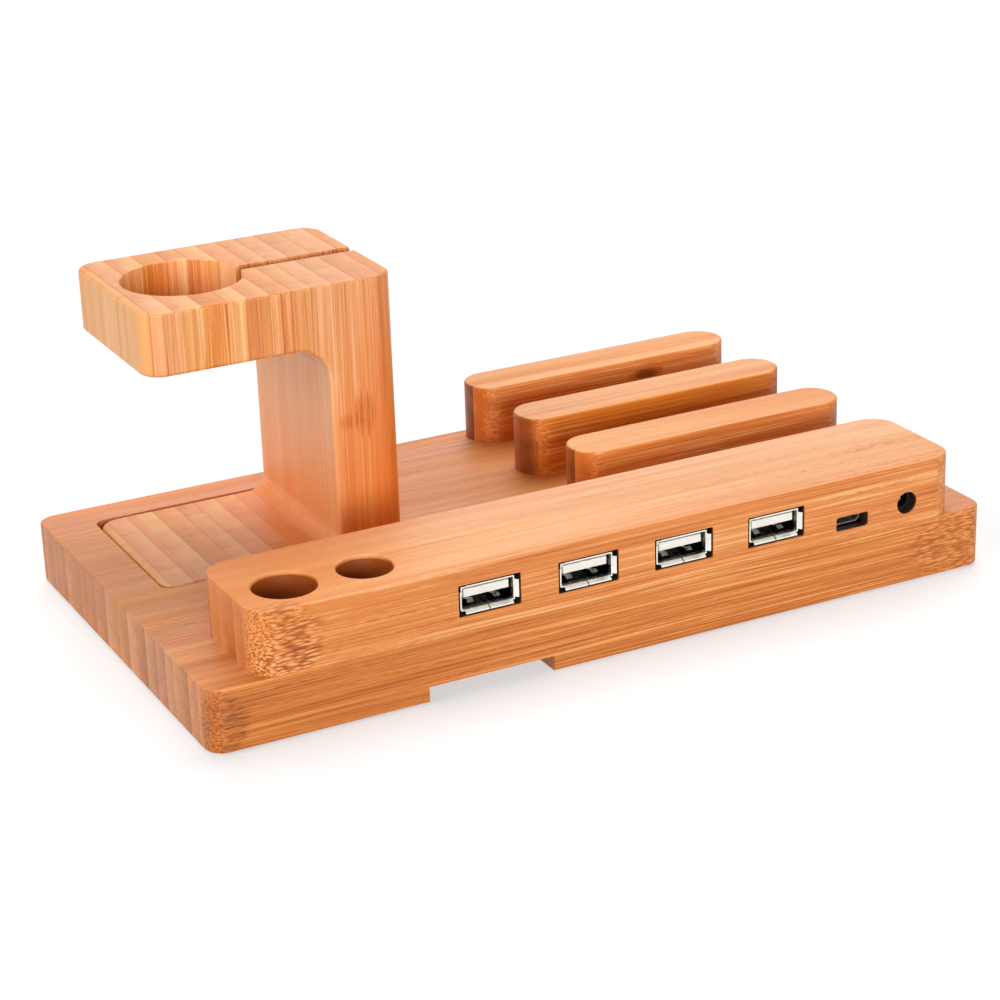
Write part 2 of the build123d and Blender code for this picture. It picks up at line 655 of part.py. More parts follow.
# USB-A receptacles
for port_number, port_x in enumerate(port_places, start=1):
    shell_left = port_x - shell_width / 2
    shell_right = port_x + shell_width / 2
    shell_bottom = port_z - shell_height / 2
    shell_top = port_z + shell_height / 2
    lip_front_y = base_front + lip_setback
    with BuildPart() as usb_shell:
        with BuildSketch(front_plane(shell_front_y)):
            with Locations((port_x, port_z)):
                Rectangle(shell_width, shell_height)
                Rectangle(shell_width - 2 * shell_wall, shell_inner_height, mode=Mode.SUBTRACT)
        extrude(amount=-shell_depth)
        # windows in the bottom wall, around the two springs
        window_width = spring_width + 2 * spring_window_margin
        window_front = shell_front_y + spring_front_setback - spring_window_margin
        window_length = spring_length + spring_window_margin
        with BuildSketch(Plane.XY.offset(shell_bottom - cut_overrun)):
            with Locations(*[(port_x + side * spring_spacing / 2, window_front + window_length / 2)
                             for side in (-1, 1)]):
                Rectangle(window_width, window_length)
        extrude(amount=shell_wall + cut_overrun, mode=Mode.SUBTRACT)
        # springs that rise from the back of each window towards the front, with a turned-down tip
        spring_front_y = shell_front_y + spring_front_setback
        spring_rear_y = window_front + window_length
        spring_peak_y = spring_front_y + spring_tip
        spring_points = [(spring_rear_y + shell_wall, shell_bottom), (spring_rear_y, shell_bottom),
                         (spring_peak_y, shell_bottom + spring_rise),
                         (spring_front_y, shell_bottom + spring_rise / 2),
                         (spring_front_y, shell_bottom + spring_rise / 2 + shell_wall),
                         (spring_peak_y, shell_bottom + spring_rise + shell_wall),
                         (spring_rear_y + shell_wall, shell_bottom + shell_wall)]
        for side in (-1, 1):
            with BuildSketch(Plane.YZ.offset(port_x + side * spring_spacing / 2 - spring_width / 2)):
                with BuildLine():
                    Polyline(*spring_points, close=True)
                make_face()
            extrude(amount=spring_width)
        # flared lips, one on each side of the mouth
        for side in (-1, 1):
            wall_x = port_x + side * shell_width / 2
            inner_x = wall_x - side * shell_wall
            with BuildSketch(Plane.XY.offset(port_z - lip_side_height / 2)):
                with BuildLine():
                    Polyline((inner_x, shell_front_y), (inner_x + side * lip_flare_side, lip_front_y),
                             (wall_x + side * lip_flare_side, lip_front_y), (wall_x, shell_front_y),
                             close=True)
                make_face()
            extrude(amount=lip_side_height)
            wall_z = port_z + side * shell_height / 2
            inner_z = wall_z - side * shell_wall
            with BuildSketch(Plane.YZ.offset(port_x - lip_top_width / 2)):
                with BuildLine():
                    Polyline((shell_front_y, inner_z), (lip_front_y, inner_z + side * lip_flare_top),
                             (lip_front_y, wall_z + side * lip_flare_top), (shell_front_y, wall_z),
                             close=True)
                make_face()
            extrude(amount=lip_top_width)
        # seam down the middle of the bottom wall
        with BuildSketch(Plane.XY.offset(shell_bottom - lip_flare_top - cut_overrun)):
            with Locations((port_x, (lip_front_y + shell_rear_y) / 2)):
                Rectangle(shell_seam, shell_rear_y - lip_front_y + 2 * cut_overrun)
        extrude(amount=lip_flare_top + shell_wall + cut_overrun, mode=Mode.SUBTRACT)
        # side legs down through the board
        for side in (-1, 1):
            with BuildSketch(Plane.XY.offset(pin_bottom)):
                with Locations((port_x + side * (shell_width - shell_wall) / 2, shell_leg_y)):
                    Rectangle(shell_wall, shell_leg_width)
            extrude(amount=port_z - pin_bottom)
    usb_shell.part.label = f"usb_shell_{port_number}"
    share(usb_shell.part)

    contact_top = tongue_bottom
    contact_bottom = contact_top - contact_thickness
    with BuildPart() as usb_insulator:
        with BuildSketch(front_plane(block_front_y)):
            with Locations((port_x, port_z)):
                Rectangle(shell_width - 2 * shell_wall - 2 * insulator_fit,
                          shell_inner_height - 2 * insulator_fit)
        extrude(amount=-insulator_block_depth)
        tongue_front_y = shell_front_y + tongue_setback
        with BuildSketch(Plane.XY.offset(tongue_bottom)) as tongue_outline:
            with Locations((port_x, (tongue_front_y + shell_rear_y) / 2)):
                Rectangle(tongue_width, shell_rear_y - tongue_front_y)
            fillet(tongue_outline.vertices().group_by(Axis.Y)[0], tongue_corner_radius)
        extrude(amount=tongue_thickness)
        # slots for the contacts through the block
        with BuildSketch(front_plane(block_front_y)):
            contact_z = (contact_top + contact_bottom) / 2
            with Locations(*[(port_x + offset, contact_z) for offset in contact_places]):
                Rectangle(contact_width + 2 * contact_fit, contact_thickness + 2 * contact_fit)
        extrude(amount=-(insulator_block_depth + cut_overrun), mode=Mode.SUBTRACT)
    usb_insulator.part.label = f"usb_insulator_{port_number}"
    share(usb_insulator.part)

    contact_front_y = shell_front_y + contact_setback
    with BuildPart() as usb_contacts:
        with BuildSketch(Plane.XY.offset(contact_bottom)):
            contact_y = (contact_front_y + contact_rear_y) / 2
            with Locations(*[(port_x + offset, contact_y) for offset in contact_places]):
                Rectangle(contact_width, contact_rear_y - contact_front_y)
        extrude(amount=contact_thickness)
        with BuildSketch(Plane.XY.offset(pin_bottom)):
            with Locations(*[(port_x + offset, contact_leg_y) for offset in contact_places]):
                Rectangle(contact_leg_width, contact_thickness)
        extrude(amount=contact_top - pin_bottom)
    usb_contacts.part.label = f"usb_contacts_{port_number}"
    share(usb_contacts.part)


def micro_outline(inset):
    """Sketch points of the micro-USB mouth, moved in by inset, with both lower corners cut off."""
    half = micro_width / 2 - inset
    low = micro_z - micro_shell_height / 2 + inset
    high = micro_z + micro_shell_height / 2 - inset
    cut = micro_chamfer - inset * tan(radians(45 / 2))
    return [(micro_x - half, high), (micro_x - half, low + cut), (micro_x - half + cut, low),
            (micro_x + half - cut, low), (micro_x + half, low + cut), (micro_x + half, high)]


# Micro-USB receptacle
micro_contact_places = [micro_x + (k - (micro_contact_count - 1) / 2) * micro_contact_pitch
                        for k in range(micro_contact_count)]
with BuildPart() as micro_usb_shell:
    with BuildSketch(front_plane(micro_front_y)):
        with BuildLine():
            Polyline(*micro_outline(0), close=True)
        make_face()
        with BuildLine():
            Polyline(*micro_outline(micro_wall), close=True)
        make_face(mode=Mode.SUBTRACT)
    extrude(amount=-micro_depth)
    # wings that rest on the board
    wing_y = board_front + socket_cutout_fit + micro_wing_length
    for side in (-1, 1):
        with BuildSketch(Plane.XY.offset(board_top)):
            with Locations((micro_x + side * (micro_width + micro_wing_width - micro_wall) / 2, wing_y)):
                Rectangle(micro_wing_width + micro_wall, micro_wing_length)
        extrude(amount=micro_wall)
micro_usb_shell.part.label = "micro_usb_shell"
share(micro_usb_shell.part)

with BuildPart() as micro_usb_insulator:
    with BuildSketch(front_plane(micro_rear_y - micro_block_depth)):
        with BuildLine():
            Polyline(*micro_outline(micro_wall + insulator_fit), close=True)
        make_face()
    extrude(amount=-micro_block_depth)
    with BuildSketch(front_plane(micro_front_y + micro_tongue_setback)):
        with Locations((micro_x, board_top + micro_tongue_thickness / 2)):
            Rectangle(micro_tongue_width, micro_tongue_thickness)
    extrude(amount=-(micro_depth - micro_tongue_setback))
    with BuildSketch(front_plane(micro_front_y)):
        with Locations(*[(x, board_top - micro_contact_thickness / 2) for x in micro_contact_places]):
            Rectangle(micro_contact_width + 2 * contact_fit, micro_contact_thickness + 2 * contact_fit)
    extrude(amount=-(micro_depth + cut_overrun), mode=Mode.SUBTRACT)
micro_usb_insulator.part.label = "micro_usb_insulator"
share(micro_usb_insulator.part)

with BuildPart() as micro_usb_contacts:
    step_y = micro_rear_y + socket_cutout_fit / 2
    contact_start_y = micro_front_y + 2 * micro_tongue_setback
    contact_end_y = micro_rear_y + 2 * socket_cutout_fit + micro_contact_tail
    for contact_x in micro_contact_places:
        with BuildSketch(Plane.YZ.offset(contact_x - micro_contact_width / 2)):
            with BuildLine():
                Polyline((contact_start_y, board_top - micro_contact_thickness),
                         (step_y, board_top - micro_contact_thickness),
                         (step_y, board_top), (contact_end_y, board_top),
                         (contact_end_y, board_top + micro_contact_thickness),
                         (step_y - micro_contact_thickness / 2, board_top + micro_contact_thickness),
                         (step_y - micro_contact_thickness / 2, board_top),
                         (contact_start_y, board_top), close=True)
            make_face()
        extrude(amount=micro_contact_width)
micro_usb_contacts.part.label = "micro_usb_contacts"
share(micro_usb_contacts.part)

# DC power jack
jack_spring_z = dc_z + jack_bore_radius - jack_spring_thickness
with BuildPart() as dc_jack_body:
    with BuildSketch(front_plane(jack_front_y)):
        with Locations((dc_x, dc_z)):
            Rectangle(jack_width, jack_body_height)
    extrude(amount=-jack_depth)
    chamfer(dc_jack_body.edges().filter_by(Axis.Y), jack_edge_chamfer)
    for side in (-1, 1):
        with BuildSketch(Plane.XY.offset(board_top)):
            with Locations((dc_x + side * jack_width / 2, (board_front + jack_rear_y) / 2)):
                Rectangle(2 * jack_wing_width, jack_rear_y - board_front - 2 * jack_wing_width)
        extrude(amount=jack_wing_thickness)
    with BuildSketch(front_plane(jack_front_y - cut_overrun)):
        with Locations((dc_x, dc_z)):
            Circle(jack_bore_radius)
    extrude(amount=-(jack_bore_depth + cut_overrun), mode=Mode.SUBTRACT)
    with BuildSketch(front_plane(jack_front_y)):
        with Locations((dc_x, dc_z)):
            Circle(jack_pin_radius + contact_fit)
        with Locations((dc_x, jack_spring_z)):
            Rectangle(jack_spring_width + 2 * contact_fit, 2 * jack_spring_thickness + 2 * contact_fit)
    extrude(amount=-(jack_depth + cut_overrun), mode=Mode.SUBTRACT)
dc_jack_body.part.label = "dc_jack_body"
share(dc_jack_body.part)

with BuildPart() as dc_jack_pin:
    with BuildSketch(front_plane(jack_front_y + jack_pin_setback)):
        with Locations((dc_x, dc_z)):
            Circle(jack_pin_radius)
    extrude(amount=-(jack_depth - jack_pin_setback + jack_pin_tail))
    fillet(dc_jack_pin.edges().filter_by(GeomType.CIRCLE).group_by(Axis.Y)[0], jack_pin_radius / 2)
    with BuildSketch(Plane.XY.offset(board_top)):
        with Locations((dc_x, jack_rear_y + 2 * socket_cutout_fit + contact_thickness)):
            Rectangle(contact_leg_width, 2 * contact_thickness)
    extrude(amount=dc_z - board_top)
dc_jack_pin.part.label = "dc_jack_pin"
share(dc_jack_pin.part)

with BuildPart() as dc_jack_spring:
    spring_end_y = jack_rear_y + jack_spring_tail
    with BuildSketch(Plane.XY.offset(jack_spring_z - jack_spring_thickness / 2)):
        with Locations((dc_x, (jack_front_y + jack_spring_setback + spring_end_y) / 2)):
            Rectangle(jack_spring_width, spring_end_y - jack_front_y - jack_spring_setback)
    extrude(amount=jack_spring_thickness)
dc_jack_spring.part.label = "dc_jack_spring"
share(dc_jack_spring.part)


def gull_wing_chip(label, centre, length, width, height, pin_count, pin_pitch):
    """Chip with two rows of bent pins along its length, standing on the circuit board."""
    centre_x, centre_y = centre
    body_bottom = board_top + controller_pin_thickness
    with BuildPart() as chip:
        with BuildSketch(Plane.XY.offset(body_bottom)):
            with Locations(centre):
                Rectangle(width, length)
        extrude(amount=height - controller_pin_thickness)
        chamfer(chip.faces().sort_by(Axis.Z)[-1].edges(), controller_pin_thickness)
        knee_x = width / 2 + controller_pin_thickness
        toe_x = width / 2 + controller_pin_reach
        pin_z = board_top + controller_pin_height
        for side in (-1, 1):
            for k in range(pin_count):
                pin_y = centre_y + (k - (pin_count - 1) / 2) * pin_pitch
                with BuildSketch(front_plane(pin_y - controller_pin_width / 2)):
                    with BuildLine():
                        Polyline((centre_x, pin_z), (centre_x + side * knee_x, pin_z),
                                 (centre_x + side * knee_x, board_top), (centre_x + side * toe_x, board_top),
                                 (centre_x + side * toe_x, body_bottom),
                                 (centre_x + side * (knee_x + controller_pin_thickness), body_bottom),
                                 (centre_x + side * (knee_x + controller_pin_thickness),
                                  pin_z + controller_pin_thickness),
                                 (centre_x, pin_z + controller_pin_thickness), close=True)
                    make_face()
                extrude(amount=-controller_pin_width)
    chip.part.label = label
    share(chip.part)


gap_places = [port_x + port_pitch / 2 for port_x in port_places]
gull_wing_chip("hub_controller_chip", (gap_places[2], base_front + controller_setback), controller_length,
               controller_width, controller_height, controller_pin_count, controller_pin_pitch)
regulator_x = gap_places[3] + regulator_width / 2
gull_wing_chip("power_regulator_chip", (regulator_x, shell_rear_y + inductor_setback), regulator_length,
               regulator_width, regulator_height, regulator_pin_count, regulator_pin_pitch)

# Clock crystal in its metal can
with BuildPart() as clock_crystal:
    with BuildSketch(Plane.XY.offset(board_top)):
        with Locations((port_places[3], shell_rear_y + inductor_setback)):
            SlotOverall(crystal_length, crystal_width)
    extrude(amount=crystal_flange_height)
    with BuildSketch(Plane.XY.offset(board_top)):
        with Locations((port_places[3], shell_rear_y + inductor_setback)):
            SlotOverall(crystal_length - 2 * crystal_flange, crystal_width - 2 * crystal_flange)
    extrude(amount=crystal_height)
    fillet(clock_crystal.faces().sort_by(Axis.Z)[-1].edges(), crystal_flange)
clock_crystal.part.label = "clock_crystal"
share(clock_crystal.part)

# Filter capacitors: metal cans on square plastic bases with two cut corners
capacitor_places = [(gap_places[0], base_front + capacitor_front_setback),
                    (gap_places[0], shell_rear_y + capacitor_rear_setback),
                    (gap_places[1], base_front + capacitor_front_setback)]
with BuildPart() as filter_capacitors:
    for place in capacitor_places:
        with BuildSketch(Plane.XY.offset(board_top)) as capacitor_base:
            with Locations(place):
                Rectangle(capacitor_base_size, capacitor_base_size)
            chamfer(capacitor_base.vertices().group_by(Axis.Y)[0], capacitor_chamfer)
        extrude(amount=capacitor_base_height)
        with BuildSketch(Plane.XY.offset(board_top)):
            with Locations(place):
                Circle(capacitor_radius)
        extrude(amount=capacitor_height)
    fillet(filter_capacitors.edges().filter_by(GeomType.CIRCLE).group_by(Axis.Z)[-1], capacitor_edge_radius)
filter_capacitors.part.label = "filter_capacitors"
share(filter_capacitors.part)

# Power inductor and protection diode
inductor_x = (micro_x + dc_x) / 2
with BuildPart() as power_inductor:
    with BuildSketch(Plane.XY.offset(board_top)):
        with Locations((inductor_x, shell_rear_y + inductor_setback)):
            RectangleRounded(inductor_size, inductor_size, inductor_corner_radius)
    extrude(amount=inductor_height)
    fillet(power_inductor.faces().sort_by(Axis.Z)[-1].edges(), capacitor_edge_radius)
power_inductor.part.label = "power_inductor"
share(power_inductor.part)

diode_x = (micro_x + micro_width / 2 + dc_x - jack_width / 2) / 2
with BuildPart() as protection_diode:
    with BuildSketch(Plane.XY.offset(board_top)):
        with Locations((diode_x, base_front + diode_setback)):
            Rectangle(diode_width, diode_length)
    extrude(amount=diode_height)
    chamfer(protection_diode.faces().sort_by(Axis.Z)[-1].edges(), diode_chamfer)
protection_diode.part.label = "protection_diode"
share(protection_diode.part)


def chip_group(label, places, length, width, height):
    """Small two-ended chips that lie along X on the circuit board."""
    with BuildPart() as chips:
        with BuildSketch(Plane.XY.offset(board_top)):
            with Locations(*places):
                Rectangle(length, width)
        extrude(amount=height)
    chips.part.label = label
    share(chips.part)


# Rows of chip capacitors and resistors behind the first three sockets
chip_row_y = shell_rear_y + chip_row_setback
chip_columns = [port_x + k * chip_spacing for port_x in port_places[:3] for k in range(2)]
chip_group("chip_capacitors", [(x, chip_row_y) for x in chip_columns],
           chip_capacitor_length, chip_capacitor_width, chip_capacitor_height)
chip_group("chip_resistors", [(x, chip_row_y + chip_row_step) for x in chip_columns],
           chip_resistor_length, chip_resistor_width, chip_resistor_height)
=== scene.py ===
"""Charging station organizer of laminated bamboo: its finishes, floor, lamps and camera."""

import json
import logging
import math
from collections.abc import Mapping, Sequence
from dataclasses import dataclass, field
from enum import IntEnum
from typing import Any

import bmesh
import bpy
from mathutils import Matrix, Vector

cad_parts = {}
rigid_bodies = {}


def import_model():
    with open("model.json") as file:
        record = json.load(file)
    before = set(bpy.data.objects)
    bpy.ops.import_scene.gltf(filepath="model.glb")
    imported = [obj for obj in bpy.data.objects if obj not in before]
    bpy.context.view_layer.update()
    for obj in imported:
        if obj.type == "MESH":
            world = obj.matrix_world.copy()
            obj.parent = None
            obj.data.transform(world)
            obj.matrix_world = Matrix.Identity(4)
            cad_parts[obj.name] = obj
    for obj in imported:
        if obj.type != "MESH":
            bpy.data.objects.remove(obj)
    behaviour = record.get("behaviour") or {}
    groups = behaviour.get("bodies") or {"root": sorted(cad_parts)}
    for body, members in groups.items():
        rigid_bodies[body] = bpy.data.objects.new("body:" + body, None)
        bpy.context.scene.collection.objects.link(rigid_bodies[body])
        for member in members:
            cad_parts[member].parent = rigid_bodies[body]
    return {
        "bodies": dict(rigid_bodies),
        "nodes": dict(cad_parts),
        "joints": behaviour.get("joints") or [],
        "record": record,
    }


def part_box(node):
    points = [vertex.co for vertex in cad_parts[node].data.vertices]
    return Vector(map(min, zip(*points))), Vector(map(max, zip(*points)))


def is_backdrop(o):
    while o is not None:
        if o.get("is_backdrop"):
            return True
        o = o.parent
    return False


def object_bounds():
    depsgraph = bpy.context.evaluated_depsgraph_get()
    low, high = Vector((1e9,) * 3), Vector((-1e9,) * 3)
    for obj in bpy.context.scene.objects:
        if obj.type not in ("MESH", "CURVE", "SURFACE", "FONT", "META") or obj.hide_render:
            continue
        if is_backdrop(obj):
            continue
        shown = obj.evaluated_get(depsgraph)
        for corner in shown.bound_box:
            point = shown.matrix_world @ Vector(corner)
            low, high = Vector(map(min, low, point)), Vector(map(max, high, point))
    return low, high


log = logging.getLogger("charging_station")

Tree = bpy.types.NodeTree
Socket = bpy.types.NodeSocket
Pair = tuple[float, float]
Place = tuple[float, float, float]

MM = 0.001
USB_SOCKETS = range(1, 5)

# a noise swings round its middle, and nearly all of its values lie between low and high
NOISE_LOW = 0.3
NOISE_MIDDLE = 0.5
NOISE_HIGH = 0.7

# a wave texture repeats at this length of its scaled place
WAVE_LENGTH = math.pi / 10

# the sRGB curve: a straight foot, then a power
SRGB_FOOT = 0.04045
SRGB_FOOT_SLOPE = 12.92
SRGB_SHIFT = 0.055
SRGB_POWER = 2.4


class Axis(IntEnum):
    """A direction of the part, as the place of its coordinate in a vector."""

    X = 0
    Y = 1
    Z = 2


def linear(hex_colour: str) -> tuple[float, float, float, float]:
    """Turn an sRGB hex colour into the linear colour that a shader takes.

    Args:
        hex_colour: Six hex digits.

    Returns:
        Red, green and blue from 0 to 1, and an alpha of 1.
    """
    channels = (int(hex_colour[place:place + 2], 16) / 255 for place in (0, 2, 4))
    red, green, blue = (
        value / SRGB_FOOT_SLOPE if value <= SRGB_FOOT
        else ((value + SRGB_SHIFT) / (1 + SRGB_SHIFT)) ** SRGB_POWER for value in channels
    )
    return red, green, blue, 1.0


def add_node(
    tree: Tree,
    kind: str,
    inputs: Mapping[int | str, Any] | None = None,
    output: int | str = 0,
    **settings: Any,
) -> Socket:
    """Add one node with its settings, socket values and links.

    Args:
        tree: The material's or world's node tree.
        kind: The node's type, such as ShaderNodeMath.
        inputs: Values or output sockets by the name or place of the input that takes them.
        output: The name or place of the output that is wanted.
        **settings: The node's own properties, set before its inputs.

    Returns:
        The wanted output socket, whose node is at hand as its .node.
    """
    node = tree.nodes.new(kind)
    for name, value in settings.items():
        setattr(node, name, value)
    for key, value in (inputs or {}).items():
        if isinstance(value, Socket):
            tree.links.new(value, node.inputs[key])
        else:
            node.inputs[key].default_value = value
    return node.outputs[output]


def step(value: Socket, none: float, full: float) -> Socket:
    """Rise smoothly from 0 where the value is none to 1 where it is full."""
    low, high = min(none, full), max(none, full)
    return add_node(value.id_data, "ShaderNodeMapRange",
                    {"Value": value, "From Min": low, "From Max": high,
                     "To Min": float(none > full), "To Max": float(none < full)},
                    interpolation_type="SMOOTHSTEP")


def weigh(base: Socket | float, *parts: tuple[Socket, Socket | float]) -> Socket:
    """Add patterns to a base, each times its share.

    Args:
        base: What the patterns are added to.
        *parts: Each pattern with its share.

    Returns:
        The sum.
    """
    for pattern, share in parts:
        base = add_node(pattern.id_data, "ShaderNodeMath", {0: pattern, 1: share, 2: base},
                        operation="MULTIPLY_ADD")
    return base


def level(middle: float, *parts: tuple[Socket, float]) -> Socket:
    """Add up patterns that swing round a noise's middle, so that their mean is the given one."""
    return weigh(middle - NOISE_MIDDLE * sum(share for _, share in parts), *parts)


@dataclass(frozen=True)
class Finish:
    """A surface finish, made once and put on every piece that has it."""

    name: str

    def make(self) -> bpy.types.Material:
        """Make the finish's material and dress its shader."""
        material = bpy.data.materials.new(self.name)
        material.use_nodes = True
        tree = material.node_tree
        self.dress(tree, tree.nodes["Principled BSDF"])
        return material

    def dress(self, tree: Tree, shader: bpy.types.Node) -> None:
        """Set and link the shader's sockets; each finish has its own way."""
        raise NotImplementedError

    def place(self, tree: Tree) -> Socket:
        """Give the surface's place in the part, in millimetres."""
        spot = add_node(tree, "ShaderNodeTexCoord", output="Object")
        return add_node(tree, "ShaderNodeVectorMath", {0: spot, "Scale": 1 / MM}, operation="SCALE")


@dataclass(frozen=True)
class CulmNode:
    """A joint of the bamboo culm that shows as a brown mark across the fibres, in millimetres."""

    centre: Place
    reach: Place
    depth: float


@dataclass(frozen=True)
class ObliqueGrain:
    """A place where fibres come out at a slant: short pale dashes and dark pits on a deeper ground."""

    centre: Place
    reach: Place
    strength: float
    pale: float
    pits: float
    ground: float = -0.16


@dataclass(frozen=True)
class Tint:
    """A box or ellipsoid where the bamboo is burnt by the cutter, deeper in colour, or carries painted shade
    or painted light, in millimetres.
    """

    centre: Place
    size: Place
    depth: float = 0.95
    colour: str = "140A06"
    soft: float = 0.3
    rounded: bool = False


@dataclass(frozen=True)
class Drawn:
    """A pattern drawn out along the fibres, with its sizes along and across them in millimetres."""

    length: float
    width: float
    detail: float = 1.0
    rough: float = 0.5


@dataclass(frozen=True)
class Fibres:
    """A surface's place along the fibres, through the strips and across them, in millimetres."""

    along: Socket
    through: Socket
    across: Socket


@dataclass(frozen=True)
class Strips:
    """What is known of the strip at each place: random numbers, tones, and the lines where it ends."""

    random: Sequence[Socket]
    skin_side: Socket
    tone: Socket
    end_tone: Socket
    hue: Socket
    glue: Socket
    seam: Socket | None


@dataclass(frozen=True)
class Marks:
    """The patterns that the fibres make at each place."""

    bundles: Socket
    hair: Socket
    dark_hair: Socket
    pale_hair: Socket
    streaks: Socket
    fine: Socket
    bands: Socket


# Laminated bamboo, planed, sanded and oiled. Strips 5 to 8 mm thick are glued face to face, so the eye
# sees straight bands of slightly different honey tones, each with fine brown fibres along it, brown
# dots where the fibres end, thin glue lines and here and there a joint of the culm. Real bundles of
# fibres lie about 0.3 mm apart and would blur away, so they are drawn 0.8 mm apart.
@dataclass(frozen=True)
class LaminatedBamboo(Finish):
    """Bamboo strips glued into a board or block.

    Sizes are in millimetres. An edge is the value at which a soft step is still 0, and that at which it is 1.
    """

    # how the wood is laid up
    grain: Axis = Axis.X
    stack: Axis = Axis.Y
    strip: float = 5.4
    uneven: float = 0.85
    piece: float = 0.0
    piece_uneven: float = 0.5
    stagger: float = 17.0
    lamella: float = 0.0
    shift: float = 0.0
    glue_width: float = 0.16

    # how pale faces and cut ends are, and how much that differs
    mood: float = 0.62
    end_mood: float = 0.50
    tone_spread: float = 0.20
    end_spread: float = 0.26
    piece_share: float = 0.6
    lamella_share: float = 0.7
    skin_shade: float = 0.18
    calm_axis: Axis = Axis.Z
    calm: float = 0.5
    # painted light: faces across the calm axis are made paler by this much (darker where it is below 0),
    # standing in for the sheen the lamps give them
    painted_flat_light: float = 0.0
    glue_depth: float = 0.06
    seam_depth: float = 0.26
    dots: float = 0.16

    # colour
    hue: float = 0.4975
    hue_spread: float = 0.009
    saturation: float = 0.98
    saturation_spread: float = 0.12
    pale: str = "F5CB94"
    light: str = "EEAD6A"
    honey: str = "DF8F49"
    deep: str = "BA6A2A"
    brown: str = "6C3810"
    stops: tuple[float, ...] = (0.0, 0.30, 0.55, 0.76, 1.0)

    # the fibres' patterns
    wander: float = 0.9
    wandering: Drawn = Drawn(55.0, 13.0)
    bundles: Drawn = Drawn(60.0, 0.8)
    bundle_skin: float = 0.14
    bundle_edge: Pair = (0.34, 0.12)
    hairs: Drawn = Drawn(46.0, 0.40, 1.4)
    dark_hair_edge: Pair = (0.44, 0.35)
    pale_hair_edge: Pair = (0.55, 0.63)
    streaking: Drawn = Drawn(75.0, 1.5, 2.0, 0.6)
    grit: Drawn = Drawn(5.0, 0.2, 2.0, 0.6)
    banding: Drawn = Drawn(95.0, 4.2)
    gathered_edge: Pair = (0.38, 0.60)
    gathered_least: float = 0.35
    gathered_gain: float = 0.8

    # what each pattern adds to the tone
    streak_share: float = 0.34
    dark_hair_share: float = 0.14
    pale_hair_share: float = 0.24
    bundle_share: float = 0.05
    fine_share: float = 0.22
    band_share: float = 0.36
    end_share: float = 0.25
    cut_edge: Pair = (0.45, 0.85)
    flat_edge: Pair = (0.5, 0.95)

    # oblique grain and culm nodes
    dashes: Drawn = Drawn(2.4, 0.46)
    dash_edge: Pair = (0.52, 0.30)
    pit_edge: Pair = (0.56, 0.76)
    oblique_mottle: float = 0.5
    oblique_ragged: float = 0.8
    oblique_edge: Pair = (0.36, 0.86)
    culm_hair: float = 4.0
    culm_fine: float = 2.4
    culm_edge: Pair = (0.20, 1.10)
    culm_limit: Pair = (0.0, 0.6)
    lens_edge: Pair = (1.0, 0.2)

    # surface: the fibres stand a few hundredths of a millimetre out of the softer ground between them
    streak_relief: float = 0.5
    fine_relief: float = 0.6
    hair_relief: float = 0.5
    bundle_relief: float = 0.3
    glue_relief: float = 0.6
    bump: float = 0.5
    bump_height: float = 0.05
    rough_low: float = 0.56
    rough_high: float = 0.38
    ior: float = 1.52
    oil: float = 0.08
    oil_rough: float = 0.32

    culm_nodes: tuple[CulmNode, ...] = ()
    oblique: tuple[ObliqueGrain, ...] = ()
    tints: tuple[Tint, ...] = ()

    def dress(self, tree: Tree, shader: bpy.types.Node) -> None:
        """Paint strips, fibres, glue lines, culm nodes, burnt cuts, painted shade and painted light."""
        spot = self.place(tree)
        coordinates = add_node(tree, "ShaderNodeSeparateXYZ", {0: spot}).node.outputs
        across = Axis(sum(Axis) - self.grain - self.stack)
        straight = Fibres(coordinates[self.grain], coordinates[self.stack], coordinates[across])
        bent = self.bend(tree, straight)
        strips = self.strips(tree, straight, bent)
        marks = self.marks(tree, straight, bent, strips)
        shade = self.shade(tree, strips, marks)
        if self.oblique:
            shade = self.slant(tree, spot, bent, marks, shade)
        for mark in self.culm_nodes:
            shade = self.culm(tree, spot, marks, mark, shade)
        colour = self.colour(tree, spot, strips, shade)
        tree.links.new(colour, shader.inputs["Base Color"])
        self.surface(tree, shader, strips, marks)

    def bend(self, tree: Tree, straight: Fibres) -> Fibres:
        """Let the fibres wander by about a millimetre over a hand's width."""
        noise = self.drawn(tree, straight, self.wandering, "Color")
        noise = add_node(tree, "ShaderNodeVectorMath", {0: noise, 1: (NOISE_MIDDLE,) * 3},
                         operation="SUBTRACT")
        sides = add_node(tree, "ShaderNodeSeparateXYZ", {0: noise}).node.outputs
        return Fibres(straight.along, weigh(straight.through, (sides[0], self.wander)),
                      weigh(straight.across, (sides[1], self.wander)))

